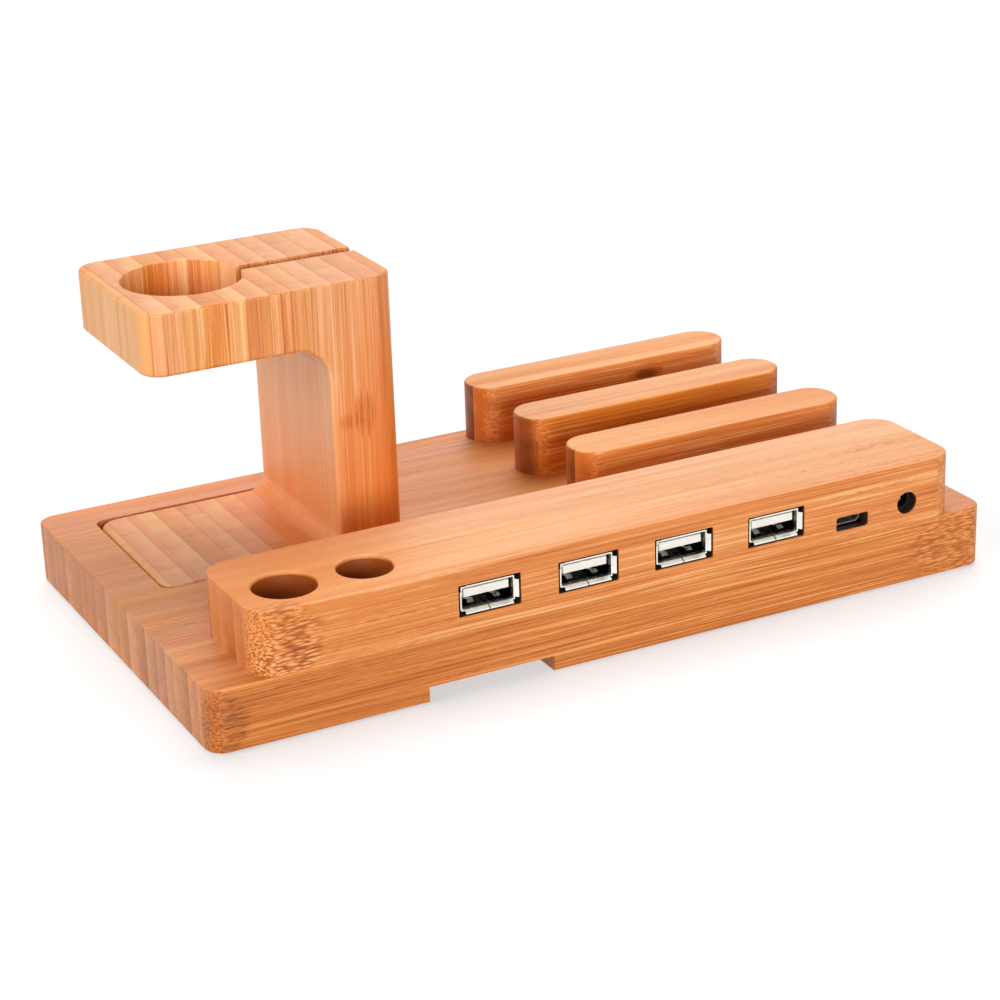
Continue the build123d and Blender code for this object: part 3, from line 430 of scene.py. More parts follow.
    def strips(self, tree: Tree, straight: Fibres, bent: Fibres) -> Strips:
        """Lay out the strips, the joints along them in a block of short pieces, and thin lamellae.

        Args:
            tree: The material's nodes.
            straight: The place in the wood.
            bent: The place with the fibres' wandering.

        Returns:
            The strip's numbers at each place.
        """
        strip_at = weigh(self.shift, (straight.through, 1 / self.strip))
        random, centre, glue = self.boards(tree, strip_at, self.strip, self.uneven)
        skin_side = add_node(tree, "ShaderNodeMath", {0: strip_at, 1: centre}, operation="SUBTRACT")
        tone = end_tone = random[1]
        hue = random[2]
        seam = None
        if self.piece:
            piece_at = weigh(self.shift, (straight.across, 1 / self.piece),
                             (random[0], self.stagger))
            piece_random, _, joint = self.boards(tree, piece_at, self.piece, self.piece_uneven)
            glue = add_node(tree, "ShaderNodeMath", {0: glue, 1: joint}, operation="MAXIMUM")
            end_tone = weigh(0.0, (tone, 1 - self.piece_share),
                             (piece_random[1], self.piece_share))
        if self.lamella:
            lamella_at = weigh(self.shift, (bent.through, 1 / self.lamella))
            lamella_random, _, seam = self.boards(tree, lamella_at, self.lamella, 1.0)
            seam = weigh(0.0, (seam, lamella_random[0]))
            tone = weigh(0.0, (tone, 1 - self.lamella_share),
                         (lamella_random[1], self.lamella_share))
            hue = lamella_random[2]
        return Strips(random, skin_side, tone, end_tone, hue, glue, seam)

    def marks(self, tree: Tree, straight: Fibres, bent: Fibres, strips: Strips) -> Marks:
        """Draw the bundles, hairlines, streaks and bands of the fibres.

        Args:
            tree: The material's nodes.
            straight: The place in the wood.
            bent: The place with the fibres' wandering.
            strips: The strips' numbers.

        Returns:
            The patterns.
        """
        bundles = self.cells(tree, bent, self.bundles)
        bundles = weigh(bundles, (strips.skin_side, self.bundle_skin))
        bundles = step(bundles, *self.bundle_edge)
        hair = self.drawn(tree, bent, self.hairs)
        dark_hair = step(hair, *self.dark_hair_edge)
        pale_hair = step(hair, *self.pale_hair_edge)
        streaks = self.drawn(tree, bent, self.streaking)
        fine = self.drawn(tree, bent, self.grit)
        bands = self.drawn(tree, straight, self.banding)
        gathered = step(bands, *self.gathered_edge)
        gathered = weigh(self.gathered_least, (gathered, self.gathered_gain))
        pale_hair = weigh(0.0, (pale_hair, gathered))
        return Marks(bundles, hair, dark_hair, pale_hair, streaks, fine, bands)

    def shade(self, tree: Tree, strips: Strips, marks: Marks) -> Socket:
        """Give how pale the bamboo is, on faces along the fibres and on cut ends.

        Args:
            tree: The material's nodes.
            strips: The strips' numbers.
            marks: The fibres' patterns.

        Returns:
            The place on the colour ramp.
        """
        normal = add_node(tree, "ShaderNodeTexCoord", output="Normal")
        facing = add_node(tree, "ShaderNodeSeparateXYZ", {0: normal}).node.outputs
        cut = add_node(tree, "ShaderNodeMath", {0: facing[self.grain]}, operation="ABSOLUTE")
        cut = step(cut, *self.cut_edge)
        flat = add_node(tree, "ShaderNodeMath", {0: facing[self.calm_axis]}, operation="ABSOLUTE")
        flat = step(flat, *self.flat_edge)

        lines = level(0.0, (marks.streaks, self.streak_share))
        lines = weigh(lines, (marks.dark_hair, -self.dark_hair_share),
                      (marks.pale_hair, self.pale_hair_share), (marks.bundles, -self.bundle_share))
        calm = weigh(1.0, (flat, -self.calm))
        side = level(self.mood, (strips.tone, self.tone_spread), (marks.fine, self.fine_share),
                     (marks.bands, self.band_share))
        # painted light: faces across the calm axis made paler, as the lamps' sheen would make them
        side = weigh(side, (flat, self.painted_flat_light), (lines, calm))
        if strips.seam is not None:
            side = weigh(side, (strips.seam, -self.seam_depth))

        end = level(self.end_mood, (strips.end_tone, self.end_spread),
                    (marks.fine, self.end_share), (marks.bands, self.end_share))
        end = weigh(end, (strips.skin_side, self.skin_shade), (marks.bundles, -self.dots))
        shade = add_node(tree, "ShaderNodeMix", {"Factor": cut, "A": side, "B": end}, data_type="FLOAT")
        return weigh(shade, (strips.glue, -self.glue_depth))

    def slant(self, tree: Tree, spot: Socket, bent: Fibres, marks: Marks, shade: Socket) -> Socket:
        """Mix in the patches where the fibres come out at a slant.

        Args:
            tree: The material's nodes.
            spot: The surface's place.
            bent: The place in the wood with the fibres' wandering.
            marks: The fibres' patterns.
            shade: The tone so far.

        Returns:
            The tone with the patches.
        """
        cells = self.cells(tree, bent, self.dashes)
        pits = step(cells, *self.pit_edge)
        dashes = step(cells, *self.dash_edge)
        for patch in self.oblique:
            slanted = level(self.mood + patch.ground, (marks.fine, self.oblique_mottle),
                            (marks.hair, self.oblique_mottle))
            slanted = weigh(slanted, (dashes, patch.pale), (pits, -patch.pits))
            mask = self.lens(tree, spot, patch.centre, patch.reach)
            mask = weigh(mask, (marks.streaks, self.oblique_ragged))
            mask = step(mask, *self.oblique_edge)
            mask = weigh(0.0, (mask, patch.strength))
            shade = add_node(tree, "ShaderNodeMix", {"Factor": mask, "A": shade, "B": slanted},
                             data_type="FLOAT")
        return shade

    def culm(self, tree: Tree, spot: Socket, marks: Marks, mark: CulmNode, shade: Socket) -> Socket:
        """Darken one joint of the culm, with a ragged outline.

        Args:
            tree: The material's nodes.
            spot: The surface's place.
            marks: The fibres' patterns.
            mark: The joint.
            shade: The tone so far.

        Returns:
            The tone with the joint.
        """
        near = self.lens(tree, spot, mark.centre, mark.reach)
        ragged = level(0.0, (marks.hair, self.culm_hair), (marks.fine, self.culm_fine))
        mask = step(weigh(ragged, (near, 1.0)), *self.culm_edge)
        near = step(near, *self.culm_limit)
        mask = weigh(0.0, (mask, near))
        return weigh(shade, (mask, -mark.depth))

    def colour(self, tree: Tree, spot: Socket, strips: Strips, shade: Socket) -> Socket:
        """Turn the tone into the wood's colour, with burnt and richer places and places of painted shade and
        painted light.

        Args:
            tree: The material's nodes.
            spot: The surface's place.
            strips: The strips' numbers.
            shade: The tone.

        Returns:
            The colour.
        """
        colour = add_node(tree, "ShaderNodeValToRGB", {0: shade}, output="Color")
        ramp = colour.node.color_ramp.elements
        for stop in self.stops[1:-1]:
            ramp.new(stop)
        tones = (self.brown, self.deep, self.honey, self.light, self.pale)
        for element, stop, tone in zip(ramp, self.stops, tones, strict=True):
            element.position = stop
            element.color = linear(tone)

        turn = level(self.hue, (strips.hue, self.hue_spread))
        strong = level(self.saturation, (strips.random[0], self.saturation_spread))
        colour = add_node(tree, "ShaderNodeHueSaturation",
                          {"Color": colour, "Hue": turn, "Saturation": strong})
        for tint in self.tints:
            if tint.rounded:
                inside = self.lens(tree, spot, tint.centre, tuple(side / 2 for side in tint.size))
            else:
                inside = self.block(tree, spot, tint)
            inside = weigh(0.0, (inside, tint.depth))
            colour = add_node(tree, "ShaderNodeMix",
                              {"Factor": inside, "A": colour, "B": linear(tint.colour)},
                              output="Result", data_type="RGBA")
        return colour

    def surface(self, tree: Tree, shader: bpy.types.Node, strips: Strips, marks: Marks) -> None:
        """Set the relief of the fibres and glue lines, and the sheen of the oil.

        Args:
            tree: The material's nodes.
            shader: The material's shader.
            strips: The strips' numbers.
            marks: The fibres' patterns.
        """
        height = level(0.5, (marks.streaks, self.streak_relief), (marks.fine, self.fine_relief))
        height = weigh(height, (marks.dark_hair, -self.hair_relief),
                       (marks.bundles, self.bundle_relief), (strips.glue, -self.glue_relief))
        bump = add_node(tree, "ShaderNodeBump",
                        {"Strength": self.bump, "Distance": self.bump_height * MM, "Height": height},
                        output="Normal")
        tree.links.new(bump, shader.inputs["Normal"])
        rough = add_node(tree, "ShaderNodeMapRange",
                         {"Value": height, "From Min": 0.0, "From Max": 1.0,
                          "To Min": self.rough_low, "To Max": self.rough_high})
        tree.links.new(rough, shader.inputs["Roughness"])
        shader.inputs["IOR"].default_value = self.ior
        shader.inputs["Coat Weight"].default_value = self.oil
        shader.inputs["Coat Roughness"].default_value = self.oil_rough

    def stretch(self, tree: Tree, fibres: Fibres, pattern: Drawn) -> Socket:
        """Scale the place so that a pattern is drawn out along the fibres.

        Args:
            tree: The material's nodes.
            fibres: The place in the wood.
            pattern: The pattern's sizes.

        Returns:
            The vector that a texture reads.
        """
        parts = (weigh(self.shift, (fibres.along, 1 / pattern.length)),
                 weigh(0.0, (fibres.through, 1 / pattern.width)),
                 weigh(0.0, (fibres.across, 1 / pattern.width)))
        return add_node(tree, "ShaderNodeCombineXYZ", dict(enumerate(parts)))

    def drawn(self, tree: Tree, fibres: Fibres, pattern: Drawn, output: int | str = 0) -> Socket:
        """Draw a noise out along the fibres.

        Args:
            tree: The material's nodes.
            fibres: The place in the wood.
            pattern: The noise's sizes and character.
            output: The texture's output that is wanted.

        Returns:
            The pattern.
        """
        vector = self.stretch(tree, fibres, pattern)
        return add_node(tree, "ShaderNodeTexNoise",
                        {"Vector": vector, "Scale": 1.0, "Detail": pattern.detail,
                         "Roughness": pattern.rough}, output=output)

    def cells(self, tree: Tree, fibres: Fibres, pattern: Drawn) -> Socket:
        """Give the distance from the middle of cells that are drawn out along the fibres.

        Args:
            tree: The material's nodes.
            fibres: The place in the wood.
            pattern: A cell's sizes.

        Returns:
            The distance, in cells.
        """
        vector = self.stretch(tree, fibres, pattern)
        return add_node(tree, "ShaderNodeTexVoronoi", {"Vector": vector, "Scale": 1.0, "Randomness": 1.0},
                        output="Distance", voronoi_dimensions="3D", feature="F1")

    def boards(self, tree: Tree, at: Socket, width: float, uneven: float
               ) -> tuple[Sequence[Socket], Socket, Socket]:
        """Cut a line into boards of uneven width.

        Args:
            tree: The material's nodes.
            at: The place along the line, in boards.
            width: A board's mean width in millimetres.
            uneven: How much the widths differ, from 0 to 1.

        Returns:
            Three random numbers for each board, its middle, and 1 on the glue lines between boards.
        """
        line = {"W": at, "Scale": 1.0, "Randomness": uneven}
        cell = add_node(tree, "ShaderNodeTexVoronoi", line, voronoi_dimensions="1D", feature="F1").node
        edge = add_node(tree, "ShaderNodeTexVoronoi", line, voronoi_dimensions="1D",
                        feature="DISTANCE_TO_EDGE")
        random = add_node(tree, "ShaderNodeSeparateColor", {0: cell.outputs["Color"]}).node.outputs
        return random, cell.outputs["W"], step(edge, self.glue_width / width, 0.0)

    def lens(self, tree: Tree, spot: Socket, centre: Place, reach: Place) -> Socket:
        """Give 1 round a centre, falling to 0 at an ellipsoid's surface.

        Args:
            tree: The material's nodes.
            spot: The surface's place.
            centre: The ellipsoid's centre.
            reach: Its half sizes.

        Returns:
            The mask.
        """
        local = add_node(tree, "ShaderNodeVectorMath", {0: spot, 1: centre}, operation="SUBTRACT")
        local = add_node(tree, "ShaderNodeVectorMath", {0: local, 1: reach}, operation="DIVIDE")
        far = add_node(tree, "ShaderNodeVectorMath", {0: local}, output="Value", operation="LENGTH")
        return step(far, *self.lens_edge)

    def block(self, tree: Tree, spot: Socket, box: Tint) -> Socket:
        """Give 1 inside a box and 0 outside, with a soft edge inside the box.

        Args:
            tree: The material's nodes.
            spot: The surface's place.
            box: The box.

        Returns:
            The mask.
        """
        local = add_node(tree, "ShaderNodeVectorMath", {0: spot, 1: box.centre}, operation="SUBTRACT")
        local = add_node(tree, "ShaderNodeVectorMath", {0: local}, operation="ABSOLUTE")
        local = add_node(tree, "ShaderNodeVectorMath", {0: local, 1: tuple(side / 2 for side in box.size)},
                         operation="SUBTRACT")
        sides = add_node(tree, "ShaderNodeSeparateXYZ", {0: local}).node.outputs
        far = add_node(tree, "ShaderNodeMath", {0: sides[0], 1: sides[1]}, operation="MAXIMUM")
        far = add_node(tree, "ShaderNodeMath", {0: far, 1: sides[2]}, operation="MAXIMUM")
        return step(far, 0.0, -box.soft)


# Plated or drawn metal: a soft mirror with faint drawing marks, a little duller where the plating pools.
# Real marks are finer than a pixel, so they are drawn 0.12 mm wide.
@dataclass(frozen=True)
class PlatedMetal(Finish):
    """Sheet metal, wire or screws with a thin bright plating. Sizes are in millimetres."""

    colour: str = "D9D6D0"
    rough: float = 0.22
    rough_below: float = 0.06
    rough_above: float = 0.10
    dull_size: float = 1.667
    mark_length: float = 6.0
    mark_width: float = 0.12
    bump: float = 0.25
    bump_height: float = 0.01
    # painted shade: the colour the metal turns to deep in a shell's mouth, from this depth over this run
    painted_shade: str = "2A2826"
    painted_shade_from: float | None = None
    painted_shade_run: float = 1.2
    bright_above: float = 0.0
    bright_run: float = 0.1
    upward_from: float = 0.3
    upward_full: float = 0.6

    def dress(self, tree: Tree, shader: bpy.types.Node) -> None:
        """Set a metal with faint marks and uneven dullness, and painted shade deep in a shell's mouth where
        that is asked for.
        """
        spot = self.place(tree)
        marks = add_node(tree, "ShaderNodeVectorMath",
                         {0: spot, 1: (1 / self.mark_width, 1 / self.mark_length, 1 / self.mark_width)},
                         operation="MULTIPLY")
        marks = add_node(tree, "ShaderNodeTexNoise", {"Vector": marks, "Scale": 1.0, "Detail": 2.0})
        dull = add_node(tree, "ShaderNodeTexNoise",
                        {"Vector": spot, "Scale": 1 / self.dull_size, "Detail": 2.0})
        rough = add_node(tree, "ShaderNodeMapRange",
                         {"Value": dull, "From Min": NOISE_LOW, "From Max": NOISE_HIGH,
                          "To Min": self.rough - self.rough_below, "To Max": self.rough + self.rough_above})
        bump = add_node(tree, "ShaderNodeBump",
                        {"Strength": self.bump, "Distance": self.bump_height * MM, "Height": marks},
                        output="Normal")
        shader.inputs["Base Color"].default_value = linear(self.colour)
        # painted shade deep in the shell's mouth
        if self.painted_shade_from is not None:
            colour = add_node(tree, "ShaderNodeMix",
                              {"Factor": self.depth(tree, spot), "A": linear(self.colour),
                               "B": linear(self.painted_shade)},
                              output="Result", data_type="RGBA")
            tree.links.new(colour, shader.inputs["Base Color"])
        shader.inputs["Metallic"].default_value = 1.0
        tree.links.new(rough, shader.inputs["Roughness"])
        tree.links.new(bump, shader.inputs["Normal"])

    def depth(self, tree: Tree, spot: Socket) -> Socket:
        """Give the painted shade deep in a shell's mouth, less on the springs that rise from its floor.

        Args:
            tree: The material's nodes.
            spot: The surface's place.

        Returns:
            0 at the lips and on the springs, 1 in the painted shade behind them.
        """
        places = add_node(tree, "ShaderNodeSeparateXYZ", {0: spot}).node.outputs
        depth = add_node(tree, "ShaderNodeMapRange",
                         {"Value": places["Y"], "From Min": self.painted_shade_from,
                          "From Max": self.painted_shade_from + self.painted_shade_run},
                         interpolation_type="SMOOTHSTEP")
        raised = add_node(tree, "ShaderNodeMapRange",
                          {"Value": places["Z"], "From Min": self.bright_above,
                           "From Max": self.bright_above + self.bright_run})
        normal = add_node(tree, "ShaderNodeTexCoord", output="Normal")
        upward = add_node(tree, "ShaderNodeSeparateXYZ", {0: normal}).node.outputs["Z"]
        upward = add_node(tree, "ShaderNodeMapRange",
                          {"Value": upward, "From Min": self.upward_from, "From Max": self.upward_full})
        spring = weigh(0.0, (raised, upward))
        return add_node(tree, "ShaderNodeMath", {0: depth, 1: spring}, operation="SUBTRACT", use_clamp=True)


# Moulded plastic and rubber: an even colour with a fine spark-eroded grain and slightly mottled sheen.
# Real grain is a few hundredths of a millimetre, so it is drawn several times as coarse to show at all.
@dataclass(frozen=True)
class Moulded(Finish):
    """Plastic, rubber or ceramic out of a mould. Sizes are in millimetres."""

    colour: str = "E8E4DA"
    second: str = "DED9CE"
    rough: float = 0.38
    rough_below: float = 0.05
    rough_above: float = 0.07
    mottle_size: float = 2.857
    grain: float = 0.25
    relief: float = 0.01
    bump: float = 0.4

    def dress(self, tree: Tree, shader: bpy.types.Node) -> None:
        """Set a mottled colour over a fine moulded grain."""
        spot = self.place(tree)
        mottle = add_node(tree, "ShaderNodeTexNoise",
                          {"Vector": spot, "Scale": 1 / self.mottle_size, "Detail": 3.0})
        grain = add_node(tree, "ShaderNodeTexNoise", {"Vector": spot, "Scale": 1 / self.grain, "Detail": 2.0})
        colour = add_node(tree, "ShaderNodeMix",
                          {"Factor": mottle, "A": linear(self.colour), "B": linear(self.second)},
                          output="Result", data_type="RGBA")
        rough = add_node(tree, "ShaderNodeMapRange",
                         {"Value": grain, "From Min": NOISE_LOW, "From Max": NOISE_HIGH,
                          "To Min": self.rough - self.rough_below, "To Max": self.rough + self.rough_above})
        bump = add_node(tree, "ShaderNodeBump",
                        {"Strength": self.bump, "Distance": self.relief * MM, "Height": grain},
                        output="Normal")
        tree.links.new(colour, shader.inputs["Base Color"])
        tree.links.new(rough, shader.inputs["Roughness"])
        tree.links.new(bump, shader.inputs["Normal"])


# Glass-fibre board under green solder mask: a satin skin over copper tracks that stand out as paler green,
# with the threads of the glass cloth faintly in it.
@dataclass(frozen=True)
class SolderMask(Finish):
    """A printed circuit board. Sizes are in millimetres."""

    # painted shade: mask and tracks darkened nearly to black, standing in for the shade in the hollow of the
    # bar
    mask: str = "06120B"
    track: str = "0B2014"
    track_pitch: float = 2.222
    track_uneven: float = 0.3
    track_from: float = 0.30
    track_full: float = 0.36
    thread: float = 0.157
    weave_bend: float = 0.5
    weave_share: float = 0.15
    bump: float = 0.5
    bump_height: float = 0.03
    rough_low: float = 0.28
    rough_high: float = 0.36

    def dress(self, tree: Tree, shader: bpy.types.Node) -> None:
        """Draw tracks and the weave below the mask."""
        spot = self.place(tree)
        cells = add_node(tree, "ShaderNodeTexVoronoi",
                         {"Vector": spot, "Scale": 1 / self.track_pitch, "Randomness": self.track_uneven},
                         output="Distance", feature="F1", distance="CHEBYCHEV")
        track = add_node(tree, "ShaderNodeMapRange",
                         {"Value": cells, "From Min": self.track_from, "From Max": self.track_full},
                         interpolation_type="SMOOTHSTEP")
        cloth = add_node(tree, "ShaderNodeTexWave",
                         {"Vector": spot, "Scale": WAVE_LENGTH / self.thread, "Distortion": self.weave_bend})
        colour = add_node(tree, "ShaderNodeMix",
                          {"Factor": track, "A": linear(self.mask), "B": linear(self.track)},
                          output="Result", data_type="RGBA")
        height = weigh(track, (cloth, self.weave_share))
        bump = add_node(tree, "ShaderNodeBump",
                        {"Strength": self.bump, "Distance": self.bump_height * MM, "Height": height},
                        output="Normal")
        rough = add_node(tree, "ShaderNodeMapRange",
                         {"Value": cloth, "To Min": self.rough_low, "To Max": self.rough_high})
        tree.links.new(colour, shader.inputs["Base Color"])
        tree.links.new(rough, shader.inputs["Roughness"])
        tree.links.new(bump, shader.inputs["Normal"])


@dataclass(frozen=True)
class Workshop:
    """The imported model, and the finishes that have been made so far."""

    frame: dict[str, Any]
    made: dict[str, bpy.types.Material] = field(default_factory=dict)

    def material(self, finish: Finish) -> bpy.types.Material:
        """Give the finish's material, made at its first use."""
        if finish.name not in self.made:
            self.made[finish.name] = finish.make()
        return self.made[finish.name]

    def dress(self, finish: Finish, *names: str) -> None:
        """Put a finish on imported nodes.

        Args:
            finish: The finish.
            *names: The nodes that get it.
        """
        for name in names:
            node = self.frame["nodes"][name]
            for slot in node.material_slots:
                slot.material = self.material(finish)
            if not node.material_slots:
                node.data.materials.append(self.material(finish))
            log.info("%s is finished in %s", name, finish.name)

    def corners(self, name: str) -> tuple[Vector, Vector]:
        """Give a node's lowest and highest corner in millimetres."""
        low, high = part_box(name)
        return low / MM, high / MM


@dataclass(frozen=True)
class BaseBoard:
    """The bamboo board that everything stands on, its dowels, screws and rubber feet."""

    shop: Workshop
    # a calm top with painted shade over its left part, and painted shade deep in the pen holes over their
    # deeper wall colour
    bamboo: LaminatedBamboo = LaminatedBamboo(
        name="laminated_bamboo_board", shift=3.4, mood=0.48, end_mood=0.42, tone_spread=0.10,
        calm=0.56, painted_flat_light=-0.01, glue_depth=0.07, hue=0.5, saturation=0.985,
        oblique=(ObliqueGrain((98.0, -57.0, 8.0), (26.0, 4.0, 12.0), 0.85, 0.24, 0.14, -0.10),
                 ObliqueGrain((-98.0, -56.0, 7.0), (9.0, 5.0, 10.0), 0.8, 0.10, 0.20, -0.24)),
        # painted shade: the left of the top darkened to the tone of the parts that the stand and slats shade
        tints=(Tint((-102.0, 24.0, 15.5), (60.0, 96.0, 36.0), 0.6, "B56C2E", rounded=True),
               # painted shade: the bottoms of the pen holes darkened, over the holes' deeper wall colour
               Tint((-76.4, -45.1, 12.0), (16.0, 16.0, 6.6), 0.9, "8E3E02"),
               Tint((-57.5, -45.1, 12.0), (14.0, 14.0, 6.6), 0.9, "9C4804")))
    # turned beech: paler and more even than the bamboo, with finer fibres
    dowel: LaminatedBamboo = LaminatedBamboo(
        name="turned_beech_dowel", grain=Axis.Z, stack=Axis.X, strip=40.0, shift=0.2,
        bundles=Drawn(60.0, 0.5), tone_spread=0.1, hue_spread=0.004,
        pale="F0D2AE", light="E6C198", honey="DAB084", deep="C4966A", brown="9A6C45")
    # rolled steel screws under bright zinc: a cool, slightly blue, dull mirror
    screw: PlatedMetal = PlatedMetal(name="zinc_plated_steel", colour="B9C0C6", rough=0.3)
    # moulded rubber: black and almost without gloss
    rubber: Moulded = Moulded(
        name="moulded_rubber", colour="232323", second="2B2A29", rough=0.72, relief=0.03)

    def dress(self) -> None:
        """Finish the board and what is fixed in it."""
        self.shop.dress(self.bamboo, "base_board")
        self.shop.dress(self.dowel, "slat_dowels")
        self.shop.dress(self.screw, "housing_screws", "board_screws")
        self.shop.dress(self.rubber, *(f"foot_{end}_{side}" for end in ("front", "rear")
                                       for side in ("left", "right")))


@dataclass(frozen=True)
class HubBar:
    """The bamboo bar along the front, with its socket cut-outs and pen holes. Sizes are in millimetres."""

    shop: Workshop
    # each cut-out's walls are burnt, and the hollow behind them is painted near-black as painted shade
    cut_margin: float = 0.6
    cut_depth: float = 24.0
    skin: float = 0.25
    port_height: float = 22.6
    port_size: Pair = (15.3, 7.5)
    # where the micro-USB and power cut-outs are across the front and in height, and their sizes
    single_cuts: tuple[tuple[float, float, Pair], ...] = ((61.7, 19.4, (9.5, 4.2)),
                                                          (77.1, 20.85, (5.5, 5.5)))
    # painted shade down the pen holes, over their deeper wall colour
    pen_holes: tuple[Tint, ...] = (Tint((-76.4, -45.1, 22.1), (15.4, 15.4, 15.6), 0.85, "984404"),
                                   Tint((-57.5, -45.1, 22.1), (13.6, 13.6, 15.6), 0.85, "984404"))
    rich_end: Tint = Tint((-92.0, -32.0, 32.0), (140.0, 92.0, 42.0), 0.6, "E07A1C", rounded=True)
    corner_grain: ObliqueGrain = ObliqueGrain((-85.0, -56.0, 22.5), (15.0, 6.0, 14.0), 0.92, 0.38, 0.34)

    def bamboo(self) -> LaminatedBamboo:
        """Give the bar's bamboo: burnt cut-out walls with painted shade in the hollows behind, and painted
        shade down the pen holes.
        """
        low, _ = self.shop.corners("hub_housing")
        sockets = (*((x, self.port_height, self.port_size) for x in self.ports()), *self.single_cuts)
        cuts = (self.socket_cut(low.y, *socket) for socket in sockets)
        # paler and smoother than the base, with a warmer left end and painted light on the top
        return LaminatedBamboo(
            name="laminated_bamboo_bar", shift=3.4, mood=0.58, end_mood=0.40, tone_spread=0.10,
            painted_flat_light=0.08, glue_depth=0.03, oblique=(self.corner_grain,),
            tints=(self.rich_end, *cuts, *self.pen_holes))

    def ports(self) -> list[float]:
        """Give the middle of each USB-A shell across the front."""
        boxes = (self.shop.corners(f"usb_shell_{number}") for number in USB_SOCKETS)
        return [(low.x + high.x) / 2 for low, high in boxes]

    def socket_cut(self, front: float, x: float, z: float, size: Pair) -> Tint:
        """Give the box round one cut-out: burnt walls, and painted shade in the hollow behind them.

        Args:
            front: The bar's front face.
            x: Its middle across the front.
            z: Its middle height.
            size: Its width and height.

        Returns:
            The box, which starts just behind the front face.
        """
        width, height = (side + 2 * self.cut_margin for side in size)
        return Tint((x, front + self.skin + self.cut_depth / 2, z), (width, self.cut_depth, height))

    def dress(self) -> None:
        """Finish the bar."""
        self.shop.dress(self.bamboo(), "hub_housing")


@dataclass(frozen=True)
class DeviceSlats:
    """The three upright rests between which phones and tablets stand."""

    shop: Workshop
    names: tuple[str, ...] = ("slat_front", "slat_middle", "slat_rear")
    marked: str = "slat_rear"
    marks: tuple[CulmNode, ...] = (CulmNode((66.0, 43.6, 26.6), (6.5, 1.8, 3.6), 0.36),
                                   CulmNode((64.0, 43.6, 24.0), (8.0, 2.0, 6.0), 0.24))
    stock_shift: float = 11.3

    def dress(self) -> None:
        """Finish each slat from its own stock."""
        for number, name in enumerate(self.names, start=1):
            # calm tops made paler with painted light, over much darker cut ends
            bamboo = LaminatedBamboo(
                name=f"laminated_bamboo_{name}", strip=5.2, shift=self.stock_shift * number, mood=0.50,
                end_mood=0.23, tone_spread=0.12, hue=0.495, hue_spread=0.003, saturation=1.03, calm=0.55,
                painted_flat_light=0.17, glue_depth=0.04, dots=0.10,
                culm_nodes=self.marks if name == self.marked else ())
            self.shop.dress(bamboo, name)


@dataclass(frozen=True)
class WatchStand:
    """The C-shaped block that holds a watch's charging puck."""

    shop: Workshop
    # short staggered pieces on end: a patchwork on top, upright lamellae in front, a culm node half way
    # up the column, painted light on the faces across X, painted shade on the foot under the arm, and
    # painted orange bounce light round the column's foot
    bamboo: LaminatedBamboo = LaminatedBamboo(
        name="laminated_bamboo_block", grain=Axis.Z, stack=Axis.X, strip=5.6, uneven=0.6, piece=26.0,
        lamella=2.6, shift=5.1, mood=0.66, end_mood=0.62, tone_spread=0.32, end_spread=0.30, dots=0.03,
        hue_spread=0.012, saturation=1.0, calm_axis=Axis.X, calm=0.75, painted_flat_light=0.14,
        glue_depth=0.18, glue_width=0.3,
        culm_nodes=(CulmNode((-36.2, -0.6, 47.8), (4.2, 2.0, 9.0), 0.52),
                    CulmNode((-39.9, -0.6, 46.6), (4.2, 2.0, 3.2), 0.26),
                    CulmNode((-28.4, -0.6, 30.0), (2.6, 2.0, 30.0), 0.30)),
        # painted shade: the foot darkened where the arm shades it
        tints=(Tint((-57.0, 23.1, 8.0), (70.0, 60.0, 17.0), 0.24, "8A6038", 1.0),
               Tint((-33.0, -0.6, 44.0), (36.0, 30.0, 112.0), 0.34, "DA6C12", rounded=True),
               # painted light: orange bounce light from the foot, round the column's lower part
               Tint((-36.0, 23.1, 6.0), (62.0, 170.0, 128.0), 0.68, "EA7810", rounded=True)))

    def dress(self) -> None:
        """Finish the block."""
        self.shop.dress(self.bamboo, "watch_stand")


@dataclass(frozen=True)
class Sockets:
    """The four USB-A sockets, the micro-USB socket and the round power inlet."""

    shop: Workshop
    # stamped steel under nickel: warm white and bright at the lips, with painted shade inside but for the
    # springs
    nickel: PlatedMetal = PlatedMetal(
        name="nickel_plated_steel", colour="F4F1EA", rough=0.26, painted_shade_from=-55.3, bright_above=20.15)
    # stamped steel under tin: paler and softer than nickel
    steel: PlatedMetal = PlatedMetal(name="tin_plated_steel", colour="EDEAE4", rough=0.3)
    # moulded nylon: milky white with a satin skin, or black and a little duller
    white: Moulded = Moulded(name="moulded_white_nylon", colour="F0ECE4", second="E6E1D6", rough=0.36)
    black: Moulded = Moulded(name="moulded_black_nylon", colour="0C0C0C", second="121211", rough=0.42)
    # rolled contact strip: grey with a warm tone, smooth where plugs rub
    bronze: PlatedMetal = PlatedMetal(
        name="nickel_plated_bronze", colour="C6C1B6", rough=0.24, mark_length=3.0)
    # turned brass under tin: a pale, even grey, duller than the rest
    tin: PlatedMetal = PlatedMetal(name="tinned_brass", colour="C9C8C2", rough=0.34, mark_length=3.0)

    def dress(self) -> None:
        """Finish the sockets' metal and plastic."""
        self.shop.dress(self.nickel, *(f"usb_shell_{number}" for number in USB_SOCKETS))
        self.shop.dress(self.steel, "micro_usb_shell")
        self.shop.dress(self.white, *(f"usb_insulator_{number}" for number in USB_SOCKETS))
        self.shop.dress(self.bronze, *(f"usb_contacts_{number}" for number in USB_SOCKETS),
                        "micro_usb_contacts")
        self.shop.dress(self.black, "micro_usb_insulator", "dc_jack_body")
        self.shop.dress(self.tin, "dc_jack_pin", "dc_jack_spring")


